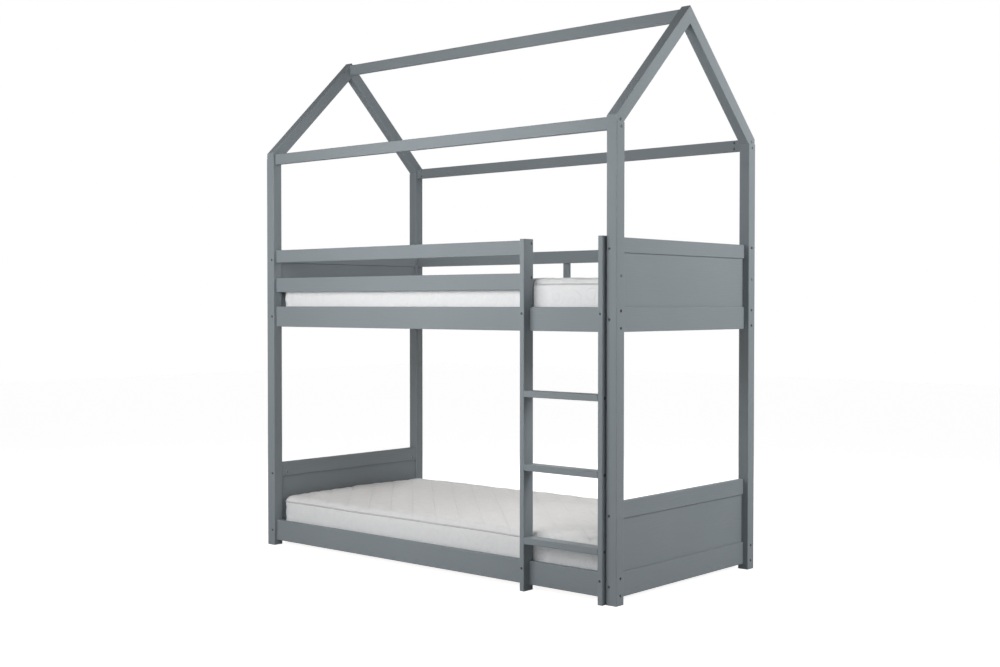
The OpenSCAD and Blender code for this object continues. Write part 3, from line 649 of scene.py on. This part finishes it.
def depth_inside(x, y):
    """Distance from the edge, positive inside: with q = |point| - (half size - corner radius),
    corner radius - length(max(q, 0)) - min(max(qx, qy), 0)."""
    qx, qy = np.abs(x) - (HALF[0] - CORNER), np.abs(y) - (HALF[1] - CORNER)
    outside = np.hypot(np.maximum(qx, 0), np.maximum(qy, 0))
    return CORNER - outside - np.minimum(np.maximum(qx, qy), 0)


def waver(x, y):
    """Slow wander of the sewn edges, up to 3 * WAVER: the sum of three sines of the place."""
    return WAVER * (np.sin(7.3 * x + 1.1) + np.sin(11.9 * x - 9.1 * y) + np.sin(17.0 * y + 0.4))


def outline_path(count, inset):
    """Evenly spaced points of the rounded rectangle moved in by inset, their outward directions
    and the length round. Each quarter is a straight run followed by a quarter circle."""
    radius, reach = CORNER - inset, HALF - CORNER
    runs = 2 * np.tile(reach, 2)
    arc = radius * math.pi / 2
    starts = np.concatenate([[0], np.cumsum(runs + arc)])
    s = np.linspace(0, starts[-1], count, endpoint=False)
    quarter = np.searchsorted(starts, s, side="right") - 1
    t = s - starts[quarter]
    bend = np.clip((t - runs[quarter]) / radius, 0, math.pi / 2)
    along, across = runs[quarter] / 2, runs[(quarter + 1) % 4] / 2
    px = np.minimum(t, runs[quarter]) - along + radius * np.sin(bend)
    py = -across - radius * np.cos(bend)
    turn = quarter * math.pi / 2
    c, d = np.cos(turn), np.sin(turn)
    points = np.stack([c * px - d * py, d * px + c * py], -1)
    nx, ny = np.sin(bend), -np.cos(bend)
    return points, np.stack([c * nx - d * ny, d * nx + c * ny], -1), starts[-1]


ROUND = outline_path(count=16, inset=0.0)[2]
print("half size", HALF, "thickness %.3f, %.3f m round" % (THICK, ROUND))

# %% [markdown]
# ## The quilted top
# The top is stitched through its wadding along two families of diagonal lines, so it rises in
# soft squares that stand on their corners, 135 mm from tip to tip. The grid's step divides
# 135 mm exactly, so each stitch line runs through grid points, and those points can be held
# while the rest is blown up as cloth. Near the rim a few closer columns make the rolled edge.

# %% Lines of the grid
DIAMOND = 0.135
STEP = DIAMOND / 10
STEPS_LONG, STEPS_WIDE, STEPS_RIM = 67, 30, 5


def grid_line(half, whole_steps):
    """Places along one axis: whole steps in the middle, then STEPS_RIM shorter ones to the
    seam on both sides."""
    middle = np.arange(-whole_steps, whole_steps + 1) * STEP
    share = 1 - (1 - np.linspace(0, 1, STEPS_RIM + 1)[1:]) ** 2
    edge = middle[-1] + (half - BEAD - middle[-1]) * share
    return np.concatenate([-edge[::-1], middle, edge])


columns, rows = grid_line(HALF[0], STEPS_LONG), grid_line(HALF[1], STEPS_WIDE)
print("grid of", len(columns), "by", len(rows), "lines, step %.1f mm" % (STEP * 1000))

# %% [markdown]
# ## Heights of the top and the underside
# The top's height is a few simple shapes laid over each other: a roll at the rim, a crown where
# the filling stands highest, a groove along each stitch line, and the waver of the seam. The
# grooves fade out towards the rim, where the roll takes over. The underside has the roll and
# half of the waver.

# %% The top and the underside as surfaces
ROLL = 0.020
CROWN = 0.005
GROOVE, GROOVE_REACH = 0.0028, 0.012
QUILT_FROM, QUILT_FADE = 0.030, 0.040
TOP_SINK = 0.0012
UNDER_SHARE = 0.5
TINY = 1e-6


def rounded_grid(columns, rows):
    """The grid with its corners rounded: in each corner square, measured from where the
    rounding starts, a point p goes to p * max(p) / length(p)."""
    x, y = np.meshgrid(columns, rows)
    radius = CORNER - BEAD
    px = (np.abs(x) - (HALF[0] - CORNER)) / radius
    py = (np.abs(y) - (HALF[1] - CORNER)) / radius
    corner = (px > TINY) & (py > TINY)
    qx, qy = np.where(corner, px, 1.0), np.where(corner, py, 1.0)
    pull = np.maximum(qx, qy) / np.hypot(qx, qy)
    x = np.where(corner, np.sign(x) * (HALF[0] - CORNER + radius * qx * pull), x)
    y = np.where(corner, np.sign(y) * (HALF[1] - CORNER + radius * qy * pull), y)
    return x, y


def to_whole_diamond(t):
    """Distance at right angles from a slanted line t to the nearest line of whole diamonds."""
    return np.abs((t / DIAMOND + 0.5) % 1.0 - 0.5) * DIAMOND / math.sqrt(2)


def off_stitch(x, y):
    """Distance to the nearest diagonal stitch line, x + y or x - y = whole diamonds."""
    return np.minimum(to_whole_diamond(x + y), to_whole_diamond(x - y))


def rolled(x, y):
    """Share of the full height at a depth d from the seam: the quarter circle
    sqrt(1 - (1 - d / ROLL)^2), held at 1 inside."""
    d = np.clip((depth_inside(x, y) - BEAD) / ROLL, 0, 1)
    return np.sqrt(1 - (1 - d) ** 2)


def crowned(x, y):
    """Rise of the filled top over its corners: CROWN * (1 - (x / half)^2 * (y / half)^2)."""
    return CROWN * (1 - (x / HALF[0]) ** 2 * (y / HALF[1]) ** 2)


grid_x, grid_y = rounded_grid(columns, rows)
quilted = np.clip((depth_inside(grid_x, grid_y) - BEAD - QUILT_FROM) / QUILT_FADE, 0, 1)
pillow = GROOVE * quilted * np.exp(-((off_stitch(grid_x, grid_y) / GROOVE_REACH) ** 2))
full = rolled(grid_x, grid_y)
rim_waver = waver(grid_x, grid_y) * (1 - quilted)
top_z = THICK - SEAM_DROP + (SEAM_DROP + crowned(grid_x, grid_y)) * full - TOP_SINK - pillow
top_z += rim_waver
under_z = SEAM_DROP * (1 - full) + rim_waver * UNDER_SHARE
print("top from %.4f to %.4f m above the slats" % (top_z.min(), top_z.max()))

# %% [markdown]
# ## One closed skin
# The top grid and the underside grid have the same rim, so rings of points between the two
# rims close the side. Each quad also keeps its place on the flat cloth in metres: length and
# width on the top and the underside, distance round and height on the border.

# %% One closed skin
RINGS = 8


def rim_order(row_count, column_count):
    """Numbers of the rim's points, once round counter-clockwise from the lowest corner."""
    number = np.arange(row_count * column_count).reshape(row_count, column_count)
    return np.concatenate([number[0, :-1], number[:-1, -1], number[-1, :0:-1], number[:0:-1, 0]])


def quads(number):
    """The quads of a grid of point numbers, wound to face up when columns run along x."""
    corners = [number[:-1, :-1], number[:-1, 1:], number[1:, 1:], number[1:, :-1]]
    return np.stack(corners, -1).reshape(-1, 4)


def make_skin():
    """Top grid, rings down the side and underside grid, with shared rims. Returns the points,
    the quads, the cloth coordinates of each quad's corners, the panel number of each quad and
    the numbers of the upper rim's points."""
    shape, count = grid_x.shape, grid_x.size
    rim = rim_order(*shape)
    top = np.stack([grid_x, grid_y, top_z], -1).reshape(-1, 3)
    under = np.stack([grid_x, grid_y, under_z], -1).reshape(-1, 3)
    drop = np.linspace(0, 1, RINGS + 1)[1:-1, None, None]
    side = top[rim] * (1 - drop) + under[rim] * drop
    points = np.concatenate([top, under, side.reshape(-1, 3)])
    ring = 2 * count + np.arange(side.shape[0] * len(rim)).reshape(-1, len(rim))
    ring = np.concatenate([rim[None], ring, count + rim[None]])
    ring = np.concatenate([ring, ring[:, :1]], axis=1)
    top_faces = quads(np.arange(count).reshape(shape))
    under_faces = quads(np.arange(count, 2 * count).reshape(shape))[:, ::-1]
    side_faces = quads(ring)[:, [0, 3, 2, 1]]
    gone = np.linalg.norm(np.diff(top[np.append(rim, rim[0])][:, :2], axis=0), axis=1)
    s = np.concatenate([[0], np.cumsum(gone)])
    s, h = np.meshgrid(s * ROUND / s[-1], np.linspace(THICK - SEAM_DROP, SEAM_DROP, RINGS + 1))
    number = np.arange(s.size).reshape(s.shape)
    side_uv = np.stack([s, h], -1).reshape(-1, 2)[quads(number)[:, [0, 3, 2, 1]]]
    uv = np.concatenate([points[top_faces][..., :2], side_uv, points[under_faces][..., :2]])
    faces = np.concatenate([top_faces, side_faces, under_faces])
    panel = np.repeat([0, 1, 2], [len(top_faces), len(side_faces), len(under_faces)])
    return points, faces, uv, panel, rim


skin_points, skin_faces, skin_uv, skin_panel, rim = make_skin()
print("skin:", len(skin_points), "points,", len(skin_faces), "quads")

# %% [markdown]
# ## From arrays to a mesh and back
# Blender stores a mesh as flat lists: the points, then the corners of all faces one after
# another, then where each face starts. `foreach_set` copies a whole numpy array into such a
# list at once, and `foreach_get` copies it out.

# %% Put arrays into a mesh
def mesh_from_arrays(name, points, faces, uv, panel=None):
    """A smooth-shaded mesh from points, quads, cloth coordinates and panel numbers."""
    mesh = bpy.data.meshes.new(name)
    mesh.vertices.add(len(points))
    mesh.vertices.foreach_set("co", np.asarray(points, np.float32).ravel())
    mesh.loops.add(faces.size)
    mesh.loops.foreach_set("vertex_index", faces.astype(np.int32).ravel())
    mesh.polygons.add(len(faces))
    mesh.polygons.foreach_set("loop_start", np.arange(0, faces.size, 4, dtype=np.int32))
    mesh.polygons.foreach_set("use_smooth", np.ones(len(faces), bool))
    if panel is not None:
        mesh.polygons.foreach_set("material_index", panel.astype(np.int32))
    mesh.update(calc_edges=True)
    layer = mesh.uv_layers.new(name="cloth")
    layer.data.foreach_set("uv", np.asarray(uv, np.float32).ravel())
    return mesh


def points_of(mesh):
    """The points of a mesh, one row of x, y and z each."""
    co = np.empty(len(mesh.vertices) * 3, np.float32)
    mesh.vertices.foreach_get("co", co)
    return co.reshape(-1, 3)


flat_cover = mesh_from_arrays("cloth_run", skin_points, skin_faces, skin_uv)
print("mesh:", len(points_of(flat_cover)), "points,", len(flat_cover.edges), "edges")

# %% [markdown]
# ## Blow the cover up as cloth
# Real ticking is cut a little large, so it fills between the stitches and puckers beside them.
# The skin is run as cloth for twenty frames with a light pressure inside and no gravity. The
# stitch lines, both seams and the underside are held. Afterwards no point is let further than
# a few millimetres from where it was drawn, so the cover still fits the bed.

# %% Cloth simulation
LAST_FRAME = 20
MOST_SHIFT = 0.0030
ON_THE_LINE, SHORTEST = 1e-5, 1e-9
CLOTH = {
    "quality": 6, "mass": 0.25, "tension_stiffness": 12, "compression_stiffness": 12,
    "shear_stiffness": 4, "bending_stiffness": 0.4, "shrink_min": -0.035,
    "use_pressure": True, "uniform_pressure_force": 4, "vertex_group_mass": "held",
}


def held_points():
    """1 for a held point: on a stitch line, on a seam, or on the underside; else 0."""
    count = grid_x.size
    held = np.zeros(len(skin_points))
    held[count:2 * count] = 1
    held[:count] = ((off_stitch(grid_x, grid_y) < ON_THE_LINE) & (quilted > 0.5)).ravel()
    held[rim] = 1
    return held


def blow_up(mesh):
    """The points after the cloth run. The length of each point's shift is cut to
    MOST_SHIFT * tanh(length / MOST_SHIFT), so none moves further than MOST_SHIFT."""
    points = skin_points
    cloth = bpy.data.objects.new("cloth_run", mesh)
    bpy.context.collection.objects.link(cloth)
    group = cloth.vertex_groups.new(name="held")
    group.add(np.flatnonzero(held_points()).tolist(), 1.0, "REPLACE")
    run = cloth.modifiers.new("cloth", "CLOTH")
    for name, value in CLOTH.items():
        setattr(run.settings, name, value)
    run.settings.effector_weights.gravity = 0
    run.collision_settings.use_collision = False
    run.point_cache.frame_start, run.point_cache.frame_end = 1, LAST_FRAME
    scene = bpy.context.scene
    for number in range(1, LAST_FRAME + 1):
        scene.frame_set(number)
    shaped = cloth.evaluated_get(bpy.context.evaluated_depsgraph_get())
    shift = points_of(shaped.data).astype(float) - points
    scene.frame_set(1)
    bpy.data.objects.remove(cloth)
    length = np.linalg.norm(shift, axis=1, keepdims=True)
    print("cloth moved up to %.1f mm" % (length.max() * 1000))
    shift *= MOST_SHIFT * np.tanh(length / MOST_SHIFT) / np.maximum(length, SHORTEST)
    return points + shift


cover_points = blow_up(flat_cover)
bpy.data.meshes.remove(flat_cover)
print("crown at %.4f m, nominal %.4f m" % (cover_points[:, 2].max(), THICK))

# %% [markdown]
# ## Ribs of the knit
# The cover is a pale jacquard knit. At arm's length it shows three things: the line of stitches
# in the quilting, a curly pattern stitched into the border, and the fine ribs of the knit. Each
# is a node group that reads the cloth's own coordinates, which are metres on the flat panel, so
# the patterns stay on the cloth wherever it bends. The ribs come first, because every panel
# has them.

# %% Node group: ribs of the knit
LOOP_LENGTH = 0.7
YARN_SCALE = 38.0


def make_knit_group():
    """height = sin(half circle * fract(u)) * sin(half circle * fract(LOOP_LENGTH * v + half a
    step each rib)), with u and v counted in pitches, which makes small ovals; tone = slow noise
    that stands for uneven yarn."""
    tree, given, put = new_group(
        "knit",
        [("Cloth", VECTOR, None), ("Pitch", NUMBER, 0.0016)],
        [("Height", NUMBER), ("Tone", NUMBER)],
    )
    axes = add_node(tree, "SeparateXYZ", {0: given["Cloth"]})
    u = maths(tree, "DIVIDE", axes["X"], given["Pitch"])
    v = maths(tree, "DIVIDE", axes["Y"], given["Pitch"])
    step = maths(tree, "MULTIPLY", maths(tree, "FLOOR", u), 0.5)
    across = maths(tree, "SINE", maths(tree, "MULTIPLY", maths(tree, "FRACT", u), math.pi))
    down = maths(tree, "ADD", maths(tree, "MULTIPLY", v, LOOP_LENGTH), step)
    down = maths(tree, "SINE", maths(tree, "MULTIPLY", maths(tree, "FRACT", down), math.pi))
    feed(tree, put, {"Height": maths(tree, "MULTIPLY", across, down),
                     "Tone": noise(tree, given["Cloth"], YARN_SCALE, detail=4.0)["Fac"]})
    return tree


knit_group = make_knit_group()
print("group:", knit_group.name)

# %% [markdown]
# ## Diagonal stitches
# The thread of the quilting lies in the grooves that the mesh already has. Its stitches are
# only a few millimetres long, too small for the grid, so a group draws them, along with the
# short puckers that the thread pulls into the cloth on both sides.

# %% Node group: diagonal stitches
SLANT = 0.7071
THREAD_FROM, GAP_BELOW = 0.72, -0.3
PUCKER_REACH, PUCKER_BEAT = 0.016, 2.1


def fading(tree, distance, reach):
    """1 on a line, falling to 0 at reach from it: max(1 - distance / reach, 0)."""
    share = maths(tree, "SUBTRACT", 1.0, maths(tree, "DIVIDE", distance, reach))
    return maths(tree, "MAXIMUM", share, 0.0)


def make_stitch_group():
    """line = 1 on the stitch lines x + y and x - y = whole diamonds, falling to 0 over Width;
    thread = the line's core, cut where a sine along it is below GAP_BELOW; pucker = short waves
    along the line, fading over PUCKER_REACH."""
    tree, given, put = new_group(
        "diamond_stitches",
        [("Cloth", VECTOR, None), ("Diamond", NUMBER, DIAMOND), ("Width", NUMBER, 0.0035),
         ("Stitch", NUMBER, 0.0055)],
        [("Line", NUMBER), ("Thread", NUMBER), ("Pucker", NUMBER)],
    )
    axes = add_node(tree, "SeparateXYZ", {0: given["Cloth"]})
    both = []
    for along, across in (("ADD", "SUBTRACT"), ("SUBTRACT", "ADD")):
        place = maths(tree, "DIVIDE", maths(tree, across, axes["X"], axes["Y"]), given["Diamond"])
        near = maths(tree, "FRACT", maths(tree, "ADD", place, 0.5))
        near = maths(tree, "ABSOLUTE", maths(tree, "SUBTRACT", near, 0.5))
        near = maths(tree, "MULTIPLY", near, maths(tree, "MULTIPLY", given["Diamond"], SLANT))
        line = fading(tree, near, given["Width"])
        run = maths(tree, "DIVIDE", maths(tree, along, axes["X"], axes["Y"]), given["Stitch"])
        beat = maths(tree, "SINE", maths(tree, "MULTIPLY", run, 2 * math.pi))
        thread = maths(tree, "MULTIPLY", maths(tree, "GREATER_THAN", beat, GAP_BELOW),
                       maths(tree, "GREATER_THAN", line, THREAD_FROM))
        ripple = maths(tree, "SINE", maths(tree, "MULTIPLY", run, PUCKER_BEAT))
        pucker = maths(tree, "MULTIPLY", fading(tree, near, PUCKER_REACH), ripple)
        both.append((line, thread, pucker))
    lines, threads, puckers = zip(*both)
    feed(tree, put, {"Line": maths(tree, "MAXIMUM", *lines),
                     "Thread": maths(tree, "MAXIMUM", *threads),
                     "Pucker": maths(tree, "ADD", *puckers)})
    return tree


stitch_group = make_stitch_group()
print("group:", stitch_group.name)

# %% [markdown]
# ## Scrolls of the border
# The border is sewn with running curls. A spiral is the easiest curl to write down: it is the
# set of points whose radius grows with their angle. The strip is cut into cells with one
# spiral each, a whole number of them to the round, and a slow noise makes them less regular.

# %% Node group: scrolls
SCROLLS_ROUND = 66
SCROLL_WANDER, SCROLL_TURNS, SCROLL_SHIFT = 0.02, 3.4, 0.13
SCROLL_FULL, SCROLL_END = 0.5, 0.62
GROOVE_SHARPNESS = 7.0


def make_scroll_group():
    """In each cell: radius r and angle a from the centre; groove = 1 where
    fract(r * SCROLL_TURNS - a / full circle) is 0.5, fading from SCROLL_FULL to SCROLL_END of
    the cell. Every second cell is turned over, so that the curls run on into one another."""
    tree, given, put = new_group(
        "stitched_scrolls",
        [("Cloth", VECTOR, None), ("Cell", NUMBER, ROUND / SCROLLS_ROUND)],
        [("Groove", NUMBER)],
    )
    moved = wander(tree, given["Cloth"], detail=1.0, amount=SCROLL_WANDER)
    axes = add_node(tree, "SeparateXYZ", {0: moved})
    u = maths(tree, "DIVIDE", axes["X"], given["Cell"])
    cell = maths(tree, "FLOOR", u)
    odd = maths(tree, "MODULO", cell, 2.0)
    side = maths(tree, "SUBTRACT", maths(tree, "MULTIPLY", odd, 2.0), 1.0)
    x = maths(tree, "SUBTRACT", maths(tree, "SUBTRACT", u, cell), 0.5)
    v = maths(tree, "DIVIDE", maths(tree, "SUBTRACT", axes["Y"], THICK / 2), given["Cell"])
    y = maths(tree, "MULTIPLY", weighted(tree, (v, 1), (side, SCROLL_SHIFT)), side)
    flat = add_node(tree, "CombineXYZ", {"X": x, "Y": y})[0]
    r = add_node(tree, "VectorMath", {0: flat}, operation="LENGTH")["Value"]
    a = maths(tree, "DIVIDE", maths(tree, "ARCTAN2", y, x), 2 * math.pi)
    turn = maths(tree, "SUBTRACT", maths(tree, "MULTIPLY", r, SCROLL_TURNS), a)
    off = maths(tree, "SUBTRACT", maths(tree, "FRACT", turn), 0.5)
    off = maths(tree, "MULTIPLY", maths(tree, "ABSOLUTE", off), GROOVE_SHARPNESS)
    groove = maths(tree, "MAXIMUM", maths(tree, "SUBTRACT", 1.0, off), 0.0)
    inner = remap(tree, r, SCROLL_END, SCROLL_FULL)
    feed(tree, put, {"Groove": maths(tree, "MULTIPLY", groove, inner)})
    return tree


scroll_group = make_scroll_group()
print("group:", scroll_group.name, "cells of %.1f mm" % (1000 * ROUND / SCROLLS_ROUND))

# %% [markdown]
# ## Ticking for the three panels
# The top, the border and the underside share one fabric. One function makes the pale ticking
# with its sheen, and another adds what each panel's pattern darkens and sinks: stitches on the
# top, scrolls on the border, and small grip dots underneath. The darkening in the gaps of the
# knit and in the grooves of the stitches and scrolls is painted shade.

# %% Ticking
TICKING, TICKING_SHADE = (0.925, 0.93, 0.935, 1), (0.82, 0.83, 0.84, 1)
FINE_PITCH, COARSE_PITCH = 0.0017, 0.0022
# The second weight darkens the gaps between the knit's loops as painted shade.
YARN_SHARE, KNIT_GAP_SHADE_SHARE = 0.28, 0.15
# The stitch and scroll weights darken the grooves as painted shade; the dot weight darkens the grip
# dots.
STITCH_GROOVE_PAINTED_SHADE, SCROLL_GROOVE_PAINTED_SHADE, DOT_SHADE = 0.15, 0.12, 0.4
DOT_SCALE, DOT_EDGE, DOT_CORE = 110.0, 0.28, 0.18
TOP_RELIEF, BORDER_RELIEF, UNDER_RELIEF = 0.0010, 0.0009, 0.0006


def cloth_base(name, pitch):
    """A fabric Principled with knit tone and height; returns what the patterns add to."""
    material, tree, shader = new_material(name)
    cloth = add_node(tree, "UVMap", uv_map="cloth")["UV"]
    knit = place_group(tree, knit_group, {"Cloth": cloth, "Pitch": pitch})
    feed(tree, shader.inputs, {"Roughness": 0.85, "Sheen Weight": 0.25, "Sheen Roughness": 0.5,
                               "Specular IOR Level": 0.25})
    return material, tree, shader, cloth, knit


def finish_cloth(tree, shader, knit, dark, relief, distance):
    """Colour = ticking darkened by the knit's tone, by painted shade in the gaps between the knit's
    loops and by dark; normal = bump of relief.
    """
    yarn = stretched(tree, knit["Tone"])
    # Painted shade: the gaps between the knit's loops are darkened.
    knit_gap_shade = remap(tree, knit["Height"], low=0.0, high=0.5, to_low=1.0, to_high=0.0)
    tone = weighted(tree, (yarn, YARN_SHARE), (knit_gap_shade, KNIT_GAP_SHADE_SHARE), (dark, 1))
    tone = add_node(tree, "Clamp", {"Value": tone})[0]
    feed(tree, shader.inputs, {"Base Color": blend_colours(tree, tone, TICKING, TICKING_SHADE),
                               "Normal": bumped(tree, relief, strength=1.0, distance=distance)})


def make_top_cloth():
    """Quilted ticking: sunken stitch lines with thread in them and puckers beside them."""
    material, tree, shader, cloth, knit = cloth_base("ticking_quilted", FINE_PITCH)
    sewn = place_group(tree, stitch_group, {"Cloth": cloth})
    relief = weighted(tree, (sewn["Line"], -1.0), (sewn["Thread"], 0.5),
                      (sewn["Pucker"], 0.22), (knit["Height"], 0.18))
    # Painted shade in the stitch groove: the groove beside the thread is darkened.
    beside = maths(tree, "SUBTRACT", sewn["Line"], sewn["Thread"])
    dark = maths(tree, "MULTIPLY", beside, STITCH_GROOVE_PAINTED_SHADE)
    finish_cloth(tree, shader, knit, dark, relief, TOP_RELIEF)
    return material


def make_border_cloth():
    """Border ticking with stitched scrolls, darkened in their grooves as painted shade."""
    material, tree, shader, cloth, knit = cloth_base("ticking_border", FINE_PITCH)
    groove = place_group(tree, scroll_group, {"Cloth": cloth})["Groove"]
    relief = weighted(tree, (groove, -1.0), (knit["Height"], 0.15))
    # Painted shade in the scroll grooves: the sunken stitching is darkened.
    dark = maths(tree, "MULTIPLY", groove, SCROLL_GROOVE_PAINTED_SHADE)
    finish_cloth(tree, shader, knit, dark, relief, BORDER_RELIEF)
    return material


def make_under_cloth():
    """Plain underside with rows of small grip dots."""
    material, tree, shader, cloth, knit = cloth_base("ticking_underside", COARSE_PITCH)
    even = {"Vector": cloth, "Scale": DOT_SCALE, "Randomness": 0.0}
    dot = remap(tree, add_node(tree, "TexVoronoi", even)["Distance"], DOT_EDGE, DOT_CORE)
    relief = weighted(tree, (dot, 1), (knit["Height"], 0.4))
    dark = maths(tree, "MULTIPLY", dot, DOT_SHADE)
    finish_cloth(tree, shader, knit, dark, relief, UNDER_RELIEF)
    return material


panel_cloths = [make_top_cloth(), make_border_cloth(), make_under_cloth()]
print("panels:", [c.name for c in panel_cloths])

# %% [markdown]
# ## Tape for the piping
# The piping is wrapped in a twill tape, drawn greyer than the panels: partly the tape's own tone
# and partly painted shade for the shadow line along the seam. Twill shows as ribs that slant
# across the tape, so the ribs follow the sum of the distance along the bead and the distance
# round it, and the tape is darkened between the ribs as painted shade. A slow noise soils the
# tape unevenly, as handling does.

# %% Twill tape
# The tape's grey is partly its own tone and partly painted shade for the seam's shadow line.
TAPE, TAPE_SHADE = (0.72, 0.72, 0.72, 1), (0.55, 0.55, 0.555, 1)
TAPE_RIB, TAPE_SLANT = 0.0021, 0.0040
SOIL_SCALE = 25.0
TAPE_RELIEF = 0.0005


def make_piping_cloth():
    """ribs = |sin(half circle * (along / TAPE_RIB + round / TAPE_SLANT))|, darkened in between as
    painted shade.
    """
    material, tree, shader = new_material("piping_tape")
    cloth = add_node(tree, "UVMap", uv_map="cloth")["UV"]
    axes = add_node(tree, "SeparateXYZ", {0: cloth})
    slant = maths(tree, "ADD", maths(tree, "DIVIDE", axes["X"], TAPE_RIB),
                  maths(tree, "DIVIDE", axes["Y"], TAPE_SLANT))
    rib = maths(tree, "ABSOLUTE", maths(tree, "SINE", maths(tree, "MULTIPLY", slant, math.pi)))
    soil = noise(tree, cloth, SOIL_SCALE, detail=3.0)["Fac"]
    soil = stretched(tree, soil, low=0.4, high=0.8)
    # Painted shade between the twill ribs: the tone rises where the ribs dip.
    tone = weighted(tree, (rib, -0.4), (soil, 1))
    feed(tree, shader.inputs, {
        "Base Color": blend_colours(tree, tone, TAPE, TAPE_SHADE),
        "Roughness": 0.75,
        "Sheen Weight": 0.15,
        "Normal": bumped(tree, rib, strength=0.7, distance=TAPE_RELIEF),
    })
    return material


piping_cloth = make_piping_cloth()
print("piping:", piping_cloth.name)

# %% [markdown]
# ## Piping
# The piping is a cord wrapped in tape and caught in the seam. It is a circle carried round the
# same rounded rectangle, and it wavers with the seam, because both use one function.

# %% The bead as a swept circle
PIPING_STEPS, PIPING_SIDES = 900, 10


def sweep_bead(height, share):
    """Circle of radius BEAD about each point of the outline inset by BEAD:
    point + outward * BEAD * cos(angle) + up * BEAD * sin(angle). The height wavers by a share
    of the seam's waver. Returns points, quads and cloth coordinates."""
    path, outward, around = outline_path(PIPING_STEPS, BEAD)
    angle = np.arange(PIPING_SIDES) / PIPING_SIDES * 2 * math.pi
    lift = height + share * waver(path[:, 0], path[:, 1])
    ring = np.zeros((PIPING_STEPS, PIPING_SIDES, 3))
    ring[..., :2] = path[:, None] + outward[:, None] * (BEAD * np.cos(angle))[None, :, None]
    ring[..., 2] = lift[:, None] + (BEAD * np.sin(angle))[None]
    number = np.arange(PIPING_STEPS * PIPING_SIDES).reshape(PIPING_STEPS, PIPING_SIDES)
    number = np.concatenate([number, number[:1]])
    number = np.concatenate([number, number[:, :1]], axis=1)
    girth = np.arange(PIPING_SIDES + 1) * 2 * math.pi * BEAD / PIPING_SIDES
    s, t = np.meshgrid(np.linspace(0, around, PIPING_STEPS + 1), girth, indexing="ij")
    cell = quads(np.arange(s.size).reshape(s.shape))[:, ::-1]
    uv = np.stack([s, t], -1).reshape(-1, 2)[cell]
    return ring.reshape(-1, 3), quads(number)[:, ::-1], uv


beads = {
    "upper_piping": sweep_bead(THICK - SEAM_DROP, 1.0),
    "under_piping": sweep_bead(SEAM_DROP, UNDER_SHARE),
}
print("piping %.1f mm thick:" % (2000 * BEAD), len(beads["upper_piping"][1]), "quads a bead")

# %% [markdown]
# ## Two mattresses from one set of panels
# Both bunks carry the same mattress. The upper one is turned end for end, so that its puckers
# and waves don't repeat the lower one's. Each cover stands for its plain solid and rides on the
# same body.

# %% Place the mattresses
AS_DRAWN, END_FOR_END = (1, 1, 1), (-1, -1, 1)


def add_soft_piece(name, body, cloths, *arrays):
    """An object at the origin, made of arrays and cloths, that rides on a body."""
    mesh = mesh_from_arrays(name, *arrays)
    for cloth in cloths:
        mesh.materials.append(cloth)
    piece = bpy.data.objects.new(name, mesh)
    bpy.context.collection.objects.link(piece)
    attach(piece, body)
    return piece


def place_mattress(node, way):
    """The cover and its two beads, turned by way and moved so that the underside lies on the
    slats."""
    body = node + "_body"
    low, high = (np.array(c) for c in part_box(node))
    bottom = np.array([*((low + high)[:2] / 2), low[2]])
    cover = add_soft_piece(node + "_cover", body, panel_cloths,
                           cover_points * way + bottom, skin_faces, skin_uv, skin_panel)
    smooth = cover.modifiers.new("smooth", "SUBSURF")
    smooth.levels = smooth.render_levels = 1
    for name, (points, faces, uv) in beads.items():
        add_soft_piece(f"{node}_{name}", body, [piping_cloth], points * way + bottom, faces, uv)
    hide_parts(node)
    drawn = points_of(cover.data)
    print(node, "solid", low.round(4), high.round(4),
          "cover", drawn.min(0).round(4), drawn.max(0).round(4))


place_mattress("mattress_lower", AS_DRAWN)
place_mattress("mattress_upper", END_FOR_END)
